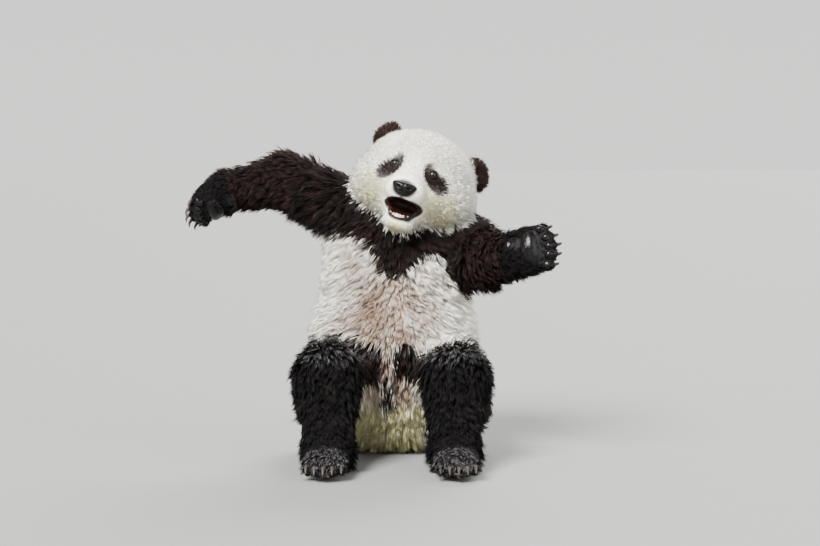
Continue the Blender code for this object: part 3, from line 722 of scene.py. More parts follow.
def hips(points):
    """The black of the thighs where it runs up onto the trunk, round the pale groin."""
    x, y, z = points.T
    top = graded(x, HIP_LINE)
    dark = hill(y, -0.02, 0.04) * hill(z, top - 0.006, top + 0.006)
    for side in SIDES:
        leg = limb_root(f"thigh_{side}", f"shin_{side}", HIP_REACH)
        dark = np.maximum(dark, hill(from_bone(points, *leg), 0.070, 0.084))
    off_middle = np.abs(x - GROIN_X)
    groin = hill(off_middle / GROIN_HALF, 0.92, 1.10) * hill(z, GROIN_TOP - 0.006, GROIN_TOP + 0.006)
    strip = hill(off_middle, 0.003, 0.013)
    return dark * (1 - groin) * (1 - strip)


def soiled_front(x, z):
    """Tan share of the hair down the front: belly, breast, lap and the strip between the thighs."""
    strip = hill(np.abs(x - GROIN_X), 0.018, 0.034) * hill(np.abs(z - STRIP_MIDDLE), 0.030, 0.050)
    belly = 1.05 * hill(oval(x, z, *BELLY), 0.30, 1.15)
    breast = 0.70 * hill(oval(x, z, *BREAST), 0.3, 1.1)
    lap = 1.05 * hill(oval(x, z, *LAP), 0.5, 1.15)
    return np.maximum.reduce([belly, breast, lap, 1.1 * strip])


def sunned_black(names, from_nose):
    """Reddish share of the black hair."""
    shares = sum(share * np.char.startswith(names, part) for part, share in SUNNED.items())
    return np.where((names == "head") & (from_nose <= DARK_NOSE), 0, shares)


def frosted_and_sheened_black(points, names, haunches):
    """Pale-tipped share of the black hair: painted sheen on the tops of the thighs and haunches, and pale
    tips with painted highlights on the hind toes.
    """
    sheened_tops = np.char.startswith(names, "thigh") | (np.isin(names, ["trunk", "neck"]) & (haunches > 0.2))
    # Paler tops of the thighs and haunches: painted sheen
    frost_and_sheen = sheened_tops * 0.045 * ramp(points[:, 2], 0.180, 0.210)
    for side in SIDES:
        toes = inside(PAW_PLACES["hind", side], points)[:, 1]
        # Pale toe tips, with painted highlights
        frost_and_sheen = frost_and_sheen + (names == f"hind_foot_{side}") * 0.08 * ramp(toes, 0.055, 0.090)
    return frost_and_sheen


def paired_spots(local, centre, soft_x, soft_z):
    """A soft spot on each half of the face, at a distance from the midline and a height."""
    off, rise = np.abs(np.abs(local[:, 0]) - centre[0]), np.abs(local[:, 2] - centre[1])
    return hill(off, *soft_x) * hill(rise, *soft_z)


def face_cream_and_shade(local):
    """Cream share of the white hair of cheeks, chin and brow; on the lower cheeks it also darkens the hair as
    painted shade.
    """
    # Darker yellowed lower cheeks: partly the hair's own tint, partly painted shade
    cheeks = paired_spots(local, (0.060, -0.050), (0.010, 0.040), (0.015, 0.040))
    brow = paired_spots(local, (0.030, 0.020), (0.006, 0.022), (0.006, 0.022))
    chin = hill(away_from(local, JAW_TIP), 0.012, 0.030)
    return np.maximum.reduce([0.66 * cheeks, 0.70 * chin, 0.28 * brow]) * (local[:, 1] < 0.02)


def markings(points, names):
    """Dark, tan and frosted shares of the coat; on white hair the last is creamy hair, which on the lower
    cheeks also paints shade, and on black hair it is pale tips that also paint sheen and highlights.
    """
    local = inside(HEAD, points)
    on_head = names == "head"
    on_trunk = np.isin(names, ["trunk", "neck"])
    x, y, z = points.T
    front = hill(y, -0.03, 0.03)
    from_nose = away_from(local, NOSE_SEAT, (1.25, 1.0, 0.9))
    haunches = hips(points)
    streak = hill(np.abs(x - GROIN_X), 0.007, 0.013) * hill(np.abs(z - STREAK_MIDDLE), 0.018, 0.034)
    on_body = np.maximum.reduce([shoulder_band(points), haunches, 0.8 * front * streak])
    dark = (~np.isin(names, ["head", "trunk", "neck", "tail"])).astype(float)
    dark = np.where(on_head, np.maximum(eye_patches(local), hill(from_nose, 0.0160, 0.0200)), dark)
    dark = np.where(on_trunk, on_body, dark)
    tan = np.maximum(front * soiled_front(x, z), 0.08 * (z < 0.12)) * on_trunk
    tan = np.where(dark > 0.5, sunned_black(names, from_nose), tan)
    frost_and_sheen = np.where(on_head, face_cream_and_shade(local), frosted_and_sheened_black(points, names, haunches))
    frost_and_sheen = np.where(on_trunk & (dark < 0.2), 0.95 * front * hill(z, 0.10, 0.145), frost_and_sheen)
    return np.stack([dark, tan, frost_and_sheen], axis=1)


def pad_places():
    """Centre and half sizes of each pad in its paw's own frame."""
    for end, side in PAWS:
        place = PAW_PLACES[end, side]
        roots = [place.inverted() @ CLAW_ROOTS[end, side, n] for n in DIGITS]
        reach = sum(root.y for root in roots) / len(roots)
        across = (max(root.x for root in roots) - min(root.x for root in roots)) / 2
        for root in roots:
            yield end, side, "toe", (root.x, root.y - 0.004), TOE_PAD
        yield end, side, "palm", (0, 0.60 * reach), (0.98 * across, 0.17 * reach)
        if end == "front":
            outer = -0.45 * across * SIGNS[side]
            yield end, side, "heel", (outer, 0.20 * reach), (0.42 * across, 0.13 * reach)


def bareness(points, names):
    """Bare leather of lips and pads, and the wet lining of the mouth."""
    local = inside(HEAD, points)
    room = mouth_room(local)
    on_head = names == "head"
    x, y, z = local.T
    thick = 0.0044 + 0.0022 * ramp(-z, 0.072, 0.088) + 0.0045 * ramp(x, 0.008, 0.028)
    lips = on_head * hill(room / thick, 0.9, 1.4)
    wet = on_head * hill(room, 0.0004, 0.0016) * ramp(y + 0.55 * (z + 0.085), -0.105, -0.098)
    groove = on_head * hill(np.abs(x), 0.0006, 0.0018)
    groove *= hill(np.abs(z - LIP_GROOVE), 0.006, 0.009) * (y < -0.115)
    bare = np.maximum(lips, groove)
    for end, side, _, centre, half in pad_places():
        mine = names == PAW_NODES[end, side]
        there = inside(PAW_PLACES[end, side], points[mine])
        reach = oval(there[:, 0], there[:, 1], centre, half)
        bare[mine] = np.maximum(bare[mine], hill(reach, 0.95, 1.2) * (there[:, 2] > 0))
    return np.stack([bare, wet, np.zeros(len(points))], axis=1)


def hair_fields(points, names, bare):
    """Length, depth, spacing, width and clumping of the hair at each corner."""
    coat = settings("panda_coat")
    table = np.zeros((len(points), 5))
    for name in FLESH:
        kind = kind_of(name)
        hair = kind.share * getattr(coat, kind.hair)
        table[names == name] = (hair, hair * kind.sink, kind.spacing, kind.width, kind.clump * coat.clumping)
    local = inside(HEAD, points)
    on_head = names == "head"
    hair = graded(away_from(local, NOSE_SEAT), NOSE_HAIR) * coat.head_length / FULL_HAIR
    for eye in EYES.values():
        hair = np.minimum(hair, graded(away_from(points, eye), EYE_HAIR))
    hair = np.minimum(hair, graded(mouth_room(local), MOUTH_HAIR))
    fineness = np.clip(hair / coat.head_length, 0.25, 1)
    table[on_head, 0] = hair[on_head]
    table[on_head, 1] = (hair * (0.28 + 0.14 * fineness))[on_head]
    table[on_head, 2] = (0.0012 + 0.0007 * fineness)[on_head]
    table[on_head, 3] = (0.0007 + 0.0007 * fineness)[on_head]
    table[on_head, 4] *= fineness[on_head]
    for place, node in PAW_NODES.items():
        mine = names == node
        wrist = 1 + 0.9 * hill(inside(PAW_PLACES[place], points)[:, 1], 0.0, 0.045)
        table[mine, :2] *= wrist[mine, None]
    woolly = hill(oval(points[:, 0], points[:, 2], *WOOL), 0.4, 1.1)
    woolly *= (names == "trunk") * hill(points[:, 1], -0.03, 0.03)
    table[:, 0] *= 1 - 0.40 * woolly
    table[:, 1] *= 1 - 0.30 * woolly
    table[:, 1] *= 1 - 0.92 * bare
    return table


def lie_of_hair(points, names, normals):
    """The way the hair points at each corner, along the body."""
    x, y, _ = points.T
    sideways = np.clip((x - MIDLINE) / HALF_BELLY, -1.2, 1.2)
    back = ramp(y, 0.0, 0.07)
    flow = np.stack([1.15 * sideways, 0.65 * np.abs(sideways) * (1 - back), -0.65 - 0.4 * back], axis=1)
    local = inside(HEAD, points)
    from_nose = local - np.array(NOSE_SEAT)
    fan = from_nose * np.array((1.25, 1.0, 1.0))
    fan[:, 2] -= 0.035 * ramp(np.abs(local[:, 0]), 0.03, 0.09) + 0.05 * ramp(local[:, 1], 0.02, 0.09)
    fan = unit(fan)
    for side in SIDES:
        away = local - in_head(EYES[side])
        near = hill(np.linalg.norm(away, axis=1), 0.009, 0.020)
        fan = unit(blended(fan, unit(away), 0.8 * near))
    on_head = names == "head"
    flow[on_head] = turned_by(HEAD, fan[on_head])
    for side in SIDES:
        arm = ["trunk"] + [f"{part}_{side}" for part in LIMB_PARTS[:3]]
        leg = ["trunk"] + [f"{part}_{side}" for part in LIMB_PARTS[3:]]
        for chain, drop in ((arm, 0.35), (leg, 0.25)):
            joints = [meeting(chain[k], chain[k + 1]) for k in range(3)]
            for k in (0, 1):
                along = (joints[k + 1] - joints[k]).normalized() + Vector((0, 0, -drop))
                flow[names == chain[k + 1]] = along
        for end in ("front", "hind"):
            mine = names == PAW_NODES[end, side]
            flow[mine] = np.array(PAW_PLACES[end, side].to_3x3().col[1])
        root = meeting(f"ear_{side}", "head")
        mine = names == f"ear_{side}"
        flow[mine] = unit(points[mine] - np.array(root))
    flow[names == "tail"] = (0, 0.75, -0.65)
    flow[names == "neck"] = (0, 0.1, -1)
    return unit(laid_down(unit(flow), normals))


# --- The skin's mesh ------------------------------------------------------------------------------

OVERLAP = 0.0005  # how far the nodes are grown so that they join over the cuts
CLAW_PLUG = 0.0055  # radius of the ball that fills a claw's socket
SINK_STEPS = 6


def ball(radius):
    bm = bmesh.new()
    bmesh.ops.create_uvsphere(bm, u_segments=10, v_segments=8, radius=radius)
    mesh = bpy.data.meshes.new("ball")
    bm.to_mesh(mesh)
    bm.free()
    return mesh


def joined_flesh():
    """The nodes of flesh as one closed mass, with the sockets of eyes, nose, tongue and claws plugged."""
    bm = bmesh.new()
    for name in FLESH + ["eye_left", "eye_right", "nose"]:
        bm.from_mesh(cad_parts[name].data)
    bmesh.ops.remove_doubles(bm, verts=bm.verts[:], dist=1e-6)
    bm.normal_update()
    for vertex in bm.verts:
        vertex.co += OVERLAP * vertex.normal
    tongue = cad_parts["tongue"].data.copy()
    centre = middle("tongue")
    tongue.transform(Matrix.Translation(centre) @ Matrix.Scale(0.9, 4) @ Matrix.Translation(-centre))
    bm.from_mesh(tongue)
    plug = ball(CLAW_PLUG)
    for root in CLAW_ROOTS.values():
        moved = plug.copy()
        moved.transform(Matrix.Translation(root))
        bm.from_mesh(moved)
    mesh = bpy.data.meshes.new("flesh")
    bm.to_mesh(mesh)
    bm.free()
    return mesh


def remeshed(mesh, cell):
    """A closed mesh of even cells round a mass."""
    shape = placed("mass", mesh)
    modifier = shape.modifiers.new("cells", "REMESH")
    modifier.mode = "VOXEL"
    modifier.voxel_size = cell
    made = changed(shape)
    bpy.data.objects.remove(shape)
    return made


def main_island(count, edges):
    """Which corners belong to the largest connected part."""
    root = list(range(count))

    def find(k):
        while root[k] != k:
            root[k] = root[root[k]]
            k = root[k]
        return k

    for a, b in edges.tolist():
        a, b = find(a), find(b)
        if a != b:
            root[b] = a
    tops = np.array([find(k) for k in range(count)])
    values, counts = np.unique(tops, return_counts=True)
    return tops == values[counts.argmax()]


def mesh_arrays(mesh):
    """A mesh's corners, edges and triangles as arrays."""
    mesh.calc_loop_triangles()
    points = numbers_from(mesh.vertices, "co", 3, np.float32).astype(float)
    edges = numbers_from(mesh.edges, "vertices", 2, np.int32)
    return points, edges, numbers_from(mesh.loop_triangles, "vertices", 3, np.int32)


def nearest_nodes(points):
    """The name of the flesh node nearest each point."""
    corners, faces, owners = [], [], []
    for index, name in enumerate(FLESH):
        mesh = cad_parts[name].data
        start = len(corners)
        corners += [v.co for v in mesh.vertices]
        faces += [[start + k for k in p.vertices] for p in mesh.polygons]
        owners += [index] * len(mesh.polygons)
    tree = BVHTree.FromPolygons(corners, faces)
    found = [owners[tree.find_nearest(point)[2]] for point in points]
    return np.array(FLESH)[np.array(found)]


def make_skin():
    """One skin under the coat, sunk by the coat's depth, with its fields kept for the coat."""
    mesh = remeshed(joined_flesh(), settings("panda_coat").skin_cell)
    points, edges, _ = mesh_arrays(mesh)
    keepers = main_island(len(points), edges)
    bm = bmesh.new()
    bm.from_mesh(mesh)
    bm.verts.ensure_lookup_table()
    bmesh.ops.delete(bm, geom=[bm.verts[k] for k in np.flatnonzero(~keepers)], context="VERTS")
    bm.to_mesh(mesh)
    bm.free()
    points, edges, triangles = mesh_arrays(mesh)
    names = nearest_nodes(points)
    points = smoothed(points, edges, 4)
    normals = corner_normals(points, triangles)
    marks = smoothed(markings(points, names), edges, 2)
    bare = bareness(points, names)
    fields = smoothed(hair_fields(points, names, bare[:, 0]), edges, 8)
    flow = smoothed(lie_of_hair(points, names, normals), edges, 10)
    for _ in range(SINK_STEPS):
        points = points - normals * fields[:, 1:2] / SINK_STEPS
        points = smoothed(points, edges, 1, 0.3)
        normals = corner_normals(points, triangles)
    flow = laid_down(flow, normals)
    mesh.vertices.foreach_set("co", points.astype(np.float32).ravel())
    mesh.update()
    keep(mesh, "marks", marks)
    keep(mesh, "bareness", bare)
    SKIN.update(
        points=points, triangles=triangles, names=names, normals=normals, marks=marks,
        bare=bare, fields=fields, flow=unit(flow), mesh=mesh,
    )
    SKIN["tree"] = BVHTree.FromPolygons(points.tolist(), triangles.tolist())
    return mesh


# --- The coat -------------------------------------------------------------------------------------

PATCH = 0.003  # side of a tuft's patch on the unwrap
COARSE_TRIANGLES = 6000
UNWRAP_ANGLE = math.radians(66)
UNWRAP_GAP = 0.004
MOST_TRIANGLES = 198000  # in one piece of the coat
FLOOR_GAP = 0.0003  # nothing lies lower than this over the floor

BARE_EYE = 1.14 * EYE_RADIUS  # no tuft is rooted this near the middle of an eye, or of a claw's root
BARE_CLAW = 0.0045
BARE_NOSE = (0.0215, 0.0165, 0.0125)  # half sizes of the bare oval round the nose

LOCK_SIZE = 7  # tufts in a lock
LOCK_SWING, TUFT_SWING = 0.26, 0.16
LOCK_GROWTH, TUFT_GROWTH = (0.84, 1.16), (0.82, 1.12)
LOCK_LIFT = (0.80, 1.35)
ROOT_DEPTH = 0.0010
DROOP = ((0.012, 0.0), (0.035, 0.30))  # by length of hair
CURL = ((0.010, 0.05), (0.030, 0.14))
WIDTHS = (0.75, 1.25)
PROFILE = {1: (0.5,), 2: (0.5, 0.42)}  # half width at each ring of a tuft with one or two rings
FLATNESS = 0.55


def unwrapped():
    """A coarse copy of the skin, unwrapped: its tree, and each face's corners and places on the unwrap."""
    shape = placed("unwrap", SKIN["mesh"].copy())
    modifier = shape.modifiers.new("coarse", "DECIMATE")
    modifier.ratio = COARSE_TRIANGLES / len(SKIN["triangles"])
    coarse = changed(shape)
    shape.modifiers.clear()
    shape.data = coarse
    bpy.context.view_layer.objects.active = shape
    shape.select_set(True)
    bpy.ops.object.mode_set(mode="EDIT")
    bpy.ops.mesh.select_all(action="SELECT")
    bpy.ops.mesh.quads_convert_to_tris()
    bpy.ops.uv.smart_project(angle_limit=UNWRAP_ANGLE, island_margin=UNWRAP_GAP)
    bpy.ops.object.mode_set(mode="OBJECT")
    points, _, triangles = mesh_arrays(coarse)
    loops = numbers_from(coarse.loop_triangles, "loops", 3, np.int32)
    places = numbers_from(coarse.uv_layers.active.data, "uv", 2, np.float32)[loops]
    bpy.data.objects.remove(shape)
    tree = BVHTree.FromPolygons(points.tolist(), triangles.tolist())
    return tree, points[triangles], places


def unwrap_places(roots):
    """The place of each root on the unwrap."""
    if "unwrap" not in SKIN:
        SKIN["unwrap"] = unwrapped()
    tree, corners, places = SKIN["unwrap"]
    faces = np.array([tree.find_nearest(root)[2] for root in roots.tolist()])
    a, b, c = (corners[faces, k] for k in range(3))
    ab, ac, ap = b - a, c - a, roots - a
    d00, d01, d11 = (ab * ab).sum(1), (ab * ac).sum(1), (ac * ac).sum(1)
    d20, d21 = (ap * ab).sum(1), (ap * ac).sum(1)
    scale = np.maximum(d00 * d11 - d01 * d01, 1e-16)
    v = np.clip((d11 * d20 - d01 * d21) / scale, 0, 1)
    w = np.clip((d00 * d21 - d01 * d20) / scale, 0, 1)
    spots = places[faces]
    return spots[:, 0] + v[:, None] * (spots[:, 1] - spots[:, 0]) + w[:, None] * (spots[:, 2] - spots[:, 0])


def scattered(chosen, rng):
    """Roots spread evenly over the chosen triangles, with the skin's fields at each."""
    triangles = SKIN["triangles"][chosen]
    points, fields = SKIN["points"], SKIN["fields"]
    a, b, c = (points[triangles[:, k]] for k in range(3))
    area = np.linalg.norm(np.cross(b - a, c - a), axis=1) / 2
    spacing = fields[triangles, 2].mean(axis=1)
    count = np.floor(area / spacing**2 + rng.random(len(area))).astype(int)
    index = np.repeat(np.arange(len(triangles)), count)
    u, v = np.sqrt(rng.random(len(index))), rng.random(len(index))
    weights = np.stack([1 - u, u * (1 - v), u * v], axis=1)[:, :, None]
    corners = triangles[index]

    def at(values):
        return (values[corners] * weights).sum(axis=1)

    roots = {key: at(SKIN[key]) for key in ("points", "normals", "flow", "marks", "bare", "fields")}
    bald = roots["bare"].max(axis=1) > 0.35
    bald |= away_from(inside(HEAD, roots["points"]), NOSE_SEAT, BARE_NOSE) < 1
    for eye in EYES.values():
        bald |= away_from(roots["points"], eye) < BARE_EYE
    for root in CLAW_ROOTS.values():
        bald |= away_from(roots["points"], root) < BARE_CLAW
    return {key: value[~bald] for key, value in roots.items()}


def turned_in_plane(flow, normals, angles):
    side = np.cross(normals, flow)
    return np.cos(angles)[:, None] * flow + np.sin(angles)[:, None] * side


def tuft_lines(roots, rings, rng):
    """The middle line of each tuft, from root to tip, with neighbours drawn together into locks."""
    count = len(roots["points"])
    hair, depth = roots["fields"][:, 0], roots["fields"][:, 1]
    clump = roots["fields"][:, 4]
    centres = np.flatnonzero(rng.random(count) < 1 / LOCK_SIZE)
    tree = KDTree(len(centres))
    for order, index in enumerate(centres.tolist()):
        tree.insert(roots["points"][index], order)
    tree.balance()
    owner = np.array([tree.find(point)[1] for point in roots["points"].tolist()])
    swing = rng.normal(0, LOCK_SWING, len(centres))[owner] * (0.4 + clump) + rng.normal(0, TUFT_SWING, count)
    grown = rng.uniform(*LOCK_GROWTH, len(centres))[owner] * rng.uniform(*TUFT_GROWTH, count)
    flow = turned_in_plane(unit(roots["flow"]), unit(roots["normals"]), swing)
    lift = np.arcsin(np.clip(depth / hair * rng.uniform(*LOCK_LIFT, len(centres))[owner], 0.10, 0.95))
    hair = hair * grown
    shares = np.linspace(0, 1, rings + 2)
    lines = np.empty((count, rings + 2, 3))
    lines[:, 0] = roots["points"] - ROOT_DEPTH * roots["normals"]
    droop = graded(hair, DROOP)
    curl = rng.normal(0, 1, (count, 3)) * graded(hair, CURL)[:, None]
    for step in range(rings + 1):
        share_here = (shares[step] + shares[step + 1]) / 2
        angle = lift * (1.60 - 1.1 * share_here)
        heading = np.cos(angle)[:, None] * flow + np.sin(angle)[:, None] * roots["normals"]
        heading = heading + curl * (share_here - 0.3)
        heading[:, 2] -= droop * share_here
        lines[:, step + 1] = lines[:, step] + unit(heading) * (hair / (rings + 1))[:, None]
    middles = lines[centres][owner]
    pull = clump[:, None, None] * (shares**1.3)[None, :, None]
    return lines + pull * (middles - lines), owner


def tuft_faces(rings):
    """Faces of one tuft: a fan from the root, bands along it, and a fan to the tip."""
    tip = 3 * rings + 1
    faces = [(0, 1 + (c + 1) % 3, 1 + c) for c in range(3)]
    for ring in range(rings - 1):
        low, high = 1 + 3 * ring, 4 + 3 * ring
        faces += [(low + c, low + (c + 1) % 3, high + (c + 1) % 3, high + c) for c in range(3)]
    faces += [(tip - 3 + c, tip - 3 + (c + 1) % 3, tip) for c in range(3)]
    return faces


def tuft_patch(faces, rings):
    """Where a tuft's face corners lie in its patch of the unwrap: across by side, up by place along it."""
    pattern = []
    for order, face in enumerate(faces):
        side = order % 3
        for corner in face:
            ring = 0 if corner == 0 else rings + 1 if corner == 3 * rings + 1 else 1 + (corner - 1) // 3
            turned = 0.5 if ring in (0, rings + 1) else float((corner - 1) % 3 != side)
            pattern.append(((side + turned) / 3, ring / (rings + 1)))
    return (np.array(pattern) - 0.5) * PATCH


def tuft_mesh(name, roots, rings, rng):
    """Closed three-sided tufts: slender at the root, widest in the middle, ending in a point."""
    lines, owner = tuft_lines(roots, rings, rng)
    count = len(lines)
    per = 3 * rings + 2
    heading = unit(np.diff(lines, axis=1))
    side = unit(np.cross(heading[:, 0], roots["normals"]))
    width = roots["fields"][:, 3] * rng.uniform(*WIDTHS, count)
    points = np.empty((count, per, 3))
    points[:, 0] = lines[:, 0]
    for ring in range(rings):
        over = unit(np.cross(side, heading[:, ring]))
        reach = (PROFILE[rings][ring] * width)[:, None]
        for corner in range(3):
            turn = math.radians(90 + 120 * corner)
            offset = math.cos(turn) * side + FLATNESS * math.sin(turn) * over
            points[:, 1 + ring * 3 + corner] = lines[:, ring + 1] + offset * reach
    points[:, -1] = lines[:, -1]
    points[:, :, 2] = np.maximum(points[:, :, 2], FLOOR_GAP)
    faces = tuft_faces(rings)
    sizes = np.array([len(face) for face in faces])
    corners = np.array([corner for face in faces for corner in face])
    loops = (np.arange(count)[:, None] * per + corners[None, :]).ravel().astype(np.int32)
    starts = np.concatenate([[0], np.cumsum(np.tile(sizes, count))[:-1]]).astype(np.int32)
    mesh = bpy.data.meshes.new(name)
    mesh.vertices.add(count * per)
    mesh.vertices.foreach_set("co", points.astype(np.float32).ravel())
    mesh.loops.add(len(loops))
    mesh.loops.foreach_set("vertex_index", loops)
    mesh.polygons.add(count * len(sizes))
    mesh.polygons.foreach_set("loop_start", starts)
    places = unwrap_places(roots["points"])[:, None, :] + tuft_patch(faces, rings)[None]
    layer = mesh.uv_layers.new(name="OFBake")
    layer.data.foreach_set("uv", places.astype(np.float32).ravel())
    mesh.update(calc_edges=True)
    marks = roots["marks"]
    mixed = (marks > 0.02) & (marks < 0.98)
    marks = marks + mixed * rng.normal(0, 0.20, count)[:, None]
    marks[:, 0] = ramp(marks[:, 0], 0.3, 0.7)
    shade = 0.55 * rng.random(count)[owner] + 0.45 * rng.random(count)
    along = np.concatenate([[0.0], np.repeat(np.arange(1, rings + 1) / (rings + 1), 3), [1.0]])
    keep(mesh, "marks", np.repeat(np.clip(marks, 0, 1), per, axis=0))
    keep(mesh, "along", np.tile(along, count))
    keep(mesh, "shade", np.repeat(shade, per))
    return mesh


def grow_coat(name, nodes, rings, cut=()):
    """The coat over some nodes of flesh as one piece; a cut halves it by a sign, a direction and a place."""
    rng = np.random.default_rng(SEED + sum(map(ord, name)))
    owners = SKIN["names"][SKIN["triangles"][:, 0]]
    chosen = np.isin(owners, nodes)
    middles = SKIN["points"][SKIN["triangles"]].mean(axis=1)
    for share_of, direction, centre in cut:
        chosen &= share_of * ((middles - np.array(centre)) @ np.array(direction)) > 0
    roots = scattered(chosen, rng)
    triangles = 6 * rings * len(roots["points"])
    if triangles > MOST_TRIANGLES:
        raise RuntimeError(f"{name} has {triangles} triangles, over {MOST_TRIANGLES}")
    mesh = tuft_mesh(name, roots, rings, rng)
    return shown(name, mesh, coat_material())


# --- Eyes and lids --------------------------------------------------------------------------------

EYE_SLANT = math.radians(20)
EYE_TURN = math.radians(14)
CORNEA = (math.radians(44), 0.10)  # its half angle, and its height as a share of the eye's radius
LID_OPENING = (0.0080, 0.0053)
LID_REACH = (0.0150, 0.0128)
LID_RADIUS = 1.10 * EYE_RADIUS
LID_PINCH = 0.30
LID_FOLD = 0.0005


def eye_place(side):
    """An eye's own frame: x outward along its slit, y into the head, z up."""
    sign = SIGNS[side]
    turn = Matrix.Rotation(EYE_TURN * sign, 3, "Z") @ Matrix.Rotation(EYE_SLANT * sign, 3, "Y")
    place = (HEAD.to_3x3() @ turn).to_4x4()
    place.translation = EYES[side]
    return place


def make_eyeball(side):
    """A ball with the bulge of the cornea, marked with rings and spokes."""
    rows, columns = 40, 48
    place = eye_place(side)
    points, ring, spoke = [], [], []
    for angle, turn, (x, y, z) in globe(rows, columns):
        out = EYE_RADIUS * (1 + CORNEA[1] * max(0, 1 - (angle / CORNEA[0]) ** 2) ** 1.5)
        points.append(place @ Vector((out * x, out * y, out * z)))
        ring.append(angle)
        spoke.append((math.cos(turn), math.sin(turn), 0.3 * angle))
    mesh = mesh_from(f"eyeball_{side}", points, capped_faces(rows, columns))
    keep(mesh, "ring", np.array(ring))
    keep(mesh, "spoke", np.array(spoke))
    return shown(f"eyeball_{side}", mesh, eye_material(), [f"eye_{side}"])


def lid_point(place, row, part, turn):
    """A point of a lid, from the slit outward: on the eye at first, then down to the skin round it."""
    pinch = 1 - LID_PINCH * abs(math.cos(turn)) ** 3
    inner = Vector((LID_OPENING[0] * math.cos(turn), LID_OPENING[1] * math.sin(turn) * pinch))
    outer = Vector((LID_REACH[0] * math.cos(turn), LID_REACH[1] * math.sin(turn)))
    x, z = inner.lerp(outer, part)
    if row == 0:
        x, z = 0.97 * inner.x, 0.97 * inner.y
    radius = EYE_RADIUS if row == 0 else LID_RADIUS
    over = math.sqrt(max(radius**2 - x * x - z * z, (0.25 * radius) ** 2))
    fold = LID_FOLD * math.sin(math.pi * min(1, part * 2.4)) if z > 0 else 0
    depth = -over - fold
    hit = SKIN["tree"].ray_cast(place @ Vector((x, -0.03, z)), Vector(place.col[1][:3]))[0]
    if hit is not None and part > 0:
        skin_depth = (place.inverted() @ hit).y + 0.0008 * part
        weight = part * part * (3 - 2 * part)
        depth = depth * (1 - weight) + skin_depth * weight
    return place @ Vector((x, depth, z))


def make_lids(side):
    """Upper and lower lid: a leather rim round the slit that folds back under the coat."""
    rows, columns = 9, 56
    place = eye_place(side)
    points = []
    for row in range(rows):
        part = max(0, row - 1) / (rows - 2)
        points += [lid_point(place, row, part, turn) for turn in circle(columns)]
    mesh = mesh_from(f"lids_{side}", points, ring_faces(rows, columns))
    return shown(f"lids_{side}", mesh, leather_material(f"panda lid {side}", 1500, 0.22))


# --- Nose -----------------------------------------------------------------------------------------

NOSE_SIZE = (0.0206, 0.0130, 0.0102)
NOSE_LIFT = Vector((0, 0, 0.0014))
SQUARENESS = 2.6
NOSTRIL = (0.0095, -0.0012, 0.0042)  # sideways, height, half width
NOSTRIL_DEPTH, TAIL_DEPTH, GROOVE_DEPTH, BROW_DEPTH = 0.0034, 0.0014, 0.0012, 0.0014


def bell(offset, width):
    return math.exp(-((offset / width) ** 2))


def make_nose():
    """A broad black pad with comma-shaped nostrils and a groove down its middle."""
    rows, columns = 56, 72
    points, hollow = [], []
    for _, _, (x, y, z) in globe(rows, columns):
        square = (abs(x) ** SQUARENESS + abs(y) ** SQUARENESS + abs(z) ** SQUARENESS) ** (-1 / SQUARENESS)
        point = Vector((x * NOSE_SIZE[0], y * NOSE_SIZE[1], z * NOSE_SIZE[2])) * square
        point.x *= 1 + 0.26 * (point.z / NOSE_SIZE[2])
        front = max(0, -y)
        side = abs(point.x) - NOSTRIL[0]
        comma = bell(side, NOSTRIL[2]) * bell(point.z - NOSTRIL[1] - 0.25 * side, 0.0024)
        tail = bell(side - 0.005, 0.004) * bell(point.z + 0.0048, 0.0014)
        groove = bell(point.x, 0.0011) * (1 if point.z < 0.004 else 0.3)
        point.y += front * (NOSTRIL_DEPTH * comma + TAIL_DEPTH * tail + GROOVE_DEPTH * groove)
        point.y += BROW_DEPTH * front * bell(point.z - 0.009, 0.003)
        # How deep a point lies in a nostril, for the painted shade there
        hollow.append(front * (comma + 0.5 * tail))
        points.append(HEAD @ (NOSE_SEAT + NOSE_LIFT + point))
    mesh = mesh_from("nose_pad", points, capped_faces(rows, columns))
    keep(mesh, "hollow", np.array(hollow))
    return shown("nose_pad", mesh, leather_material("panda nose", 1300, 0.17), ["nose"])


# --- Mouth ----------------------------------------------------------------------------------------

ARCH = (0.0152, 0.0102)  # half width and depth of the curve that gum and teeth follow
ARCH_BACK = 0.0035
GUM_RISE = 0.0118
GUM_SPAN = math.radians(236)
GUM_HALF = (0.0034, 0.0052)
TEETH = 8  # a canine at each end and the front teeth between them
TEETH_SPAN = math.radians(168)
TOOTH_FOOT = 0.0022  # the teeth stand this far over the middle of the gum
TOOTH_LEAN = 0.12
CANINE = (0.0046, 0.0022, 0.9, 0.45)  # height, radius, thickness for width, narrowing to the tip
INCISORS = ((0.0026, 0.0018, 0.62, 0), (0.0029, 0.0018, 0.62, 0))  # by turns
CROWN = ((0.0, 0.72), (0.15, 0.86), (0.45, 1.0), (0.75, 0.86), (0.92, 0.50), (1.0, 0.18))
TONGUE_TILT = math.radians(12)
TONGUE_HALF = (0.0148, 0.0196, 0.0048)


def arch_point(angle, rise):
    return JAW_TIP + Vector((ARCH[0] * math.sin(angle), ARCH_BACK - ARCH[1] * math.cos(angle), rise))


def outward_at(angle):
    return Vector((math.sin(angle), -math.cos(angle), 0))


def make_gum():
    """The ridge of gum along the lower jaw, scalloped between the teeth."""
    steps, around = 64, 14
    points = []
    for step in range(steps):
        angle = GUM_SPAN * (step / (steps - 1) - 0.5)
        centre = arch_point(angle, GUM_RISE - 0.001)
        taper = math.sin(math.pi * (step + 0.5) / steps) ** 0.35
        height = GUM_HALF[1] + 0.0005 * math.cos(angle * 12)
        for turn in circle(around):
            offset = outward_at(angle) * GUM_HALF[0] * math.cos(turn)
            offset.z += height * math.sin(turn)
            points.append(HEAD @ (centre + offset * taper))
    mesh = mesh_from("lower_gum", points, capped_faces(steps, around))
    return shown("lower_gum", mesh, gum_material())


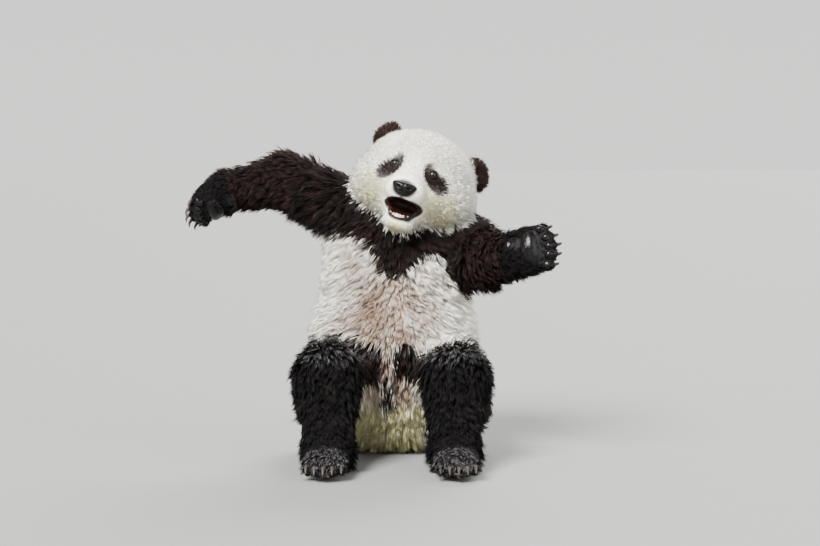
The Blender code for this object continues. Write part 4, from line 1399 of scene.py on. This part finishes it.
def tooth_points(angle, height, radius, flat, narrowing, around):
    """Rings of one tooth from its neck to its crown."""
    foot = arch_point(angle, GUM_RISE + TOOTH_FOOT)
    outward = outward_at(angle)
    sideways = Vector((math.cos(angle), math.sin(angle), 0))
    for rise, wide in CROWN:
        taper = wide * (1 - narrowing * rise)
        lean = outward * TOOTH_LEAN * rise * height
        for turn in circle(around):
            offset = sideways * radius * taper * math.cos(turn)
            offset += outward * radius * flat * taper * math.sin(turn)
            yield HEAD @ (foot + offset + lean + Vector((0, 0, rise * height)))


def make_teeth():
    """Six small front teeth and two short canines, rounded at the crown and pinched at the neck."""
    around = 12
    points, faces = [], []
    for number in range(TEETH):
        angle = TEETH_SPAN * (number / (TEETH - 1) - 0.5)
        tooth = CANINE if number in (0, TEETH - 1) else INCISORS[number % 2]
        faces += capped_faces(len(CROWN), around, len(points))
        points += tooth_points(angle, *tooth, around)
    return shown("lower_teeth", mesh_from("lower_teeth", points, faces), tooth_material())


def make_tongue():
    """A flat tongue with a groove down its middle, lying behind the lower teeth."""
    centre = Vector(in_head(middle("tongue")))
    tilt = Matrix.Rotation(TONGUE_TILT, 3, "X")
    rows, columns = 28, 36
    points = []
    for _, _, (x, y, z) in globe(rows, columns):
        groove = 0.0012 * bell(x, 0.16) if z > 0 else 0
        rise = TONGUE_HALF[2] * z * (1 + 0.15 * x * x) - groove
        points.append(HEAD @ (centre + tilt @ Vector((TONGUE_HALF[0] * x, TONGUE_HALF[1] * y, rise))))
    mesh = mesh_from("tongue_blade", points, capped_faces(rows, columns))
    return shown("tongue_blade", mesh, tongue_material(), ["tongue"])


# --- Pads and claws -------------------------------------------------------------------------------

PAD_GRID = (13, 40)  # rings and corners in each
PAD_RISES = {"toe": 0.0036, "palm": 0.0042, "heel": 0.0040}
PAD_SKIRT = 1.12  # a pad runs this share of its half size under the coat
PAD_TUCK = 0.0012
PAD_LOWEST = -0.006


def pad_points(place, centre, half, rise):
    """Rings of a cushion that follows the paw's own surface and stands proud of it."""
    rings, around = PAD_GRID
    inward = -Vector(place.col[2][:3])
    for ring in range(rings):
        share_here = math.sin(0.5 * math.pi * ring / (rings - 1))
        reach = share_here * PAD_SKIRT
        tuck = PAD_TUCK * float(ramp(np.array(reach), 0.8, PAD_SKIRT))
        height = rise * math.sqrt(max(0, 1 - (reach / PAD_SKIRT) ** 2)) - tuck
        for turn in circle(around):
            x = centre[0] + half[0] * reach * math.cos(turn)
            y = centre[1] + half[1] * reach * math.sin(turn)
            hit = SKIN["tree"].ray_cast(place @ Vector((x, y, 0.05)), inward)[0]
            base = Vector((x, y, 0)) if hit is None else place.inverted() @ hit
            point = place @ Vector((base.x, base.y, max(base.z, PAD_LOWEST) + height))
            point.z = max(point.z, FLOOR_GAP)
            yield point


def make_pads(end, side):
    """The bare pads of one paw in one piece."""
    points, faces = [], []
    for pad_end, pad_side, which, centre, half in pad_places():
        if (pad_end, pad_side) == (end, side):
            faces += [tuple(len(points) + k for k in face) for face in ring_faces(*PAD_GRID)]
            points += pad_points(PAW_PLACES[end, side], centre, half, PAD_RISES[which])
    name = f"pads_{end}_{side}"
    leather = leather_material(f"panda {name}", 1000, 0.14)
    return shown(name, mesh_from(name, points, faces), leather)


# --- Operators ------------------------------------------------------------------------------------


class PANDA_OT_skin(bpy.types.Operator):
    """Make the one skin that lies under the coat"""

    bl_idname = "panda.skin"
    bl_label = "Skin"

    def execute(self, context):
        shown("skin", make_skin(), skin_material(), FLESH)
        return {"FINISHED"}


class PANDA_OT_eyes(bpy.types.Operator):
    """Make the eyeballs and their lids"""

    bl_idname = "panda.eyes"
    bl_label = "Eyes and lids"

    def execute(self, context):
        for side in SIDES:
            make_eyeball(side)
            make_lids(side)
        return {"FINISHED"}


class PANDA_OT_nose(bpy.types.Operator):
    """Make the nose pad with its nostrils"""

    bl_idname = "panda.nose"
    bl_label = "Nose"

    def execute(self, context):
        make_nose()
        return {"FINISHED"}


class PANDA_OT_mouth(bpy.types.Operator):
    """Make the gum, teeth and tongue of the open mouth"""

    bl_idname = "panda.mouth"
    bl_label = "Mouth"

    def execute(self, context):
        make_gum()
        make_teeth()
        make_tongue()
        return {"FINISHED"}


class PANDA_OT_pads(bpy.types.Operator):
    """Make the bare pads of the four paws"""

    bl_idname = "panda.pads"
    bl_label = "Pads"

    def execute(self, context):
        for end, side in PAWS:
            make_pads(end, side)
        return {"FINISHED"}


class PANDA_OT_claws(bpy.types.Operator):
    """Give the frame's claws their horn"""

    bl_idname = "panda.claws"
    bl_label = "Claws"

    def execute(self, context):
        horn = horn_material()
        for end, side, number in CLAW_ROOTS:
            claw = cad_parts[f"claw_{end}_{side}_{number}"]
            for holder in claw.material_slots:
                holder.material = horn
        return {"FINISHED"}


class PANDA_OT_head_coat(bpy.types.Operator):
    """Grow the coat of the head and ears"""

    bl_idname = "panda.head_coat"
    bl_label = "Coat of the head"

    def execute(self, context):
        for side, sign in SIGNS.items():
            grow_coat(f"coat_head_{side}", ["head"], 1, ((sign, HEAD.to_3x3().col[0], HEAD.translation),))
            grow_coat(f"coat_ear_{side}", [f"ear_{side}"], 1)
        return {"FINISHED"}


class PANDA_OT_trunk_coat(bpy.types.Operator):
    """Grow the coat of the neck, trunk and tail"""

    bl_idname = "panda.trunk_coat"
    bl_label = "Coat of the trunk"

    def execute(self, context):
        for side, sign in SIGNS.items():
            for half, facing in (("front", -1), ("back", 1)):
                cuts = ((sign, (1, 0, 0), (MIDLINE, 0, 0)), (facing, (0, 1, 0), (0, TRUNK_MIDDLE, 0)))
                grow_coat(f"coat_trunk_{half}_{side}", ["trunk"], 2, cuts)
        grow_coat("coat_neck", ["neck"], 2)
        grow_coat("coat_tail", ["tail"], 2)
        return {"FINISHED"}


class PANDA_OT_limb_coat(bpy.types.Operator):
    """Grow the coat of the arms, legs and paws"""

    bl_idname = "panda.limb_coat"
    bl_label = "Coat of the limbs"

    def execute(self, context):
        for side in SIDES:
            for part in LIMB_PARTS:
                rings = 1 if part in ("front_paw", "hind_foot") else 2
                grow_coat(f"coat_{part}_{side}", [f"{part}_{side}"], rings)
        return {"FINISHED"}


class PANDA_OT_stage(bpy.types.Operator):
    """Set up the floor, the soft lights and the camera"""

    bl_idname = "panda.stage"
    bl_label = "Studio"

    def execute(self, context):
        make_floor()
        make_sky()
        make_lights()
        make_camera()
        return {"FINISHED"}


# --- Studio ---------------------------------------------------------------------------------------

FLOOR_SIZE = 40.0
SENSOR_WIDTH = 36
SUNS = (  # name, where it stands from the aim, spread in degrees, share of the key's strength
    ("key", (-1.3, -2.5, 2.3), 26, 1.0),
    ("fill", (2.2, -2.0, 1.2), 50, 0.16),
    ("rim", (0.8, 2.6, 1.8), 30, 0.35),
)
HORIZON = (1.26, 1.26, 1.24, 1)
ZENITH = (0.62, 0.62, 0.61, 1)
AIM = Vector((0.031, -0.040, 0.3185))


def make_floor():
    half = FLOOR_SIZE / 2
    corners = [(-half, -half, 0), (half, -half, 0), (half, half, 0), (-half, half, 0)]
    mesh = mesh_from("floor", corners, [(0, 1, 2, 3)])
    mesh.materials.append(floor_material())
    floor = placed("floor", mesh)


def make_sky():
    """A pale surround that fades upward and lights the shadows."""
    world = bpy.data.worlds.new("studio")
    world.use_nodes = True
    nodes, links = world.node_tree.nodes, world.node_tree.links
    rise = nodes.new("ShaderNodeSeparateXYZ")
    links.new(nodes.new("ShaderNodeTexCoord").outputs["Generated"], rise.inputs[0])
    fade = nodes.new("ShaderNodeMix")
    fade.data_type = "RGBA"
    links.new(rise.outputs["Z"], fade.inputs[0])
    fade.inputs[6].default_value = HORIZON
    fade.inputs[7].default_value = ZENITH
    sky = nodes["Background"]
    links.new(fade.outputs[2], sky.inputs["Color"])
    sky.inputs["Strength"].default_value = 1.0
    bpy.context.scene.world = world


def make_lights():
    strength = settings("panda_stage").key_strength
    for name, place, spread, part in SUNS:
        light = bpy.data.lights.new(name, "SUN")
        light.angle = math.radians(spread)
        light.energy = strength * part
        lamp = placed(name, light)
        lamp.location = AIM + Vector(place)
        lamp.rotation_euler = (-Vector(place)).to_track_quat("-Z", "Y").to_euler()


def make_camera():
    stage = settings("panda_stage")
    lens = bpy.data.cameras.new("camera")
    lens.lens = stage.camera_lens
    lens.sensor_width = SENSOR_WIDTH
    camera = placed("camera", lens)
    rise = stage.camera_rise
    camera.location = AIM + stage.camera_distance * Vector((0, -math.cos(rise), math.sin(rise)))
    camera.rotation_euler = (AIM - camera.location).to_track_quat("-Z", "Y").to_euler()
    bpy.context.scene.camera = camera


# --- Panel and registration -----------------------------------------------------------------------

OPERATORS = (
    PANDA_OT_skin,
    PANDA_OT_eyes,
    PANDA_OT_nose,
    PANDA_OT_mouth,
    PANDA_OT_pads,
    PANDA_OT_claws,
    PANDA_OT_head_coat,
    PANDA_OT_trunk_coat,
    PANDA_OT_limb_coat,
    PANDA_OT_stage,
)
GROUPS = {"panda_coat": PandaCoatSettings, "panda_colours": PandaColours, "panda_stage": PandaStageSettings}


class PANDA_PT_panel(bpy.types.Panel):
    """The panda's pieces and their settings"""

    bl_idname = "PANDA_PT_panel"
    bl_label = "Panda"
    bl_space_type = "VIEW_3D"
    bl_region_type = "UI"
    bl_category = "Panda"

    def draw(self, context):
        for name, group in GROUPS.items():
            box = self.layout.box()
            for key in group.__annotations__:
                box.prop(getattr(context.scene, name), key)
        for operator in OPERATORS:
            self.layout.operator(operator.bl_idname)


def register():
    for group in GROUPS.values():
        bpy.utils.register_class(group)
    for operator in OPERATORS:
        bpy.utils.register_class(operator)
    bpy.utils.register_class(PANDA_PT_panel)
    for name, group in GROUPS.items():
        setattr(bpy.types.Scene, name, bpy.props.PointerProperty(type=group))


def unregister():
    for name in GROUPS:
        delattr(bpy.types.Scene, name)
    bpy.utils.unregister_class(PANDA_PT_panel)
    for operator in reversed(OPERATORS):
        bpy.utils.unregister_class(operator)
    for group in GROUPS.values():
        bpy.utils.unregister_class(group)


def main():
    register()
    for operator in OPERATORS:
        family, action = operator.bl_idname.split(".")
        getattr(getattr(bpy.ops, family), action)()


if __name__ == "__main__":
    main()
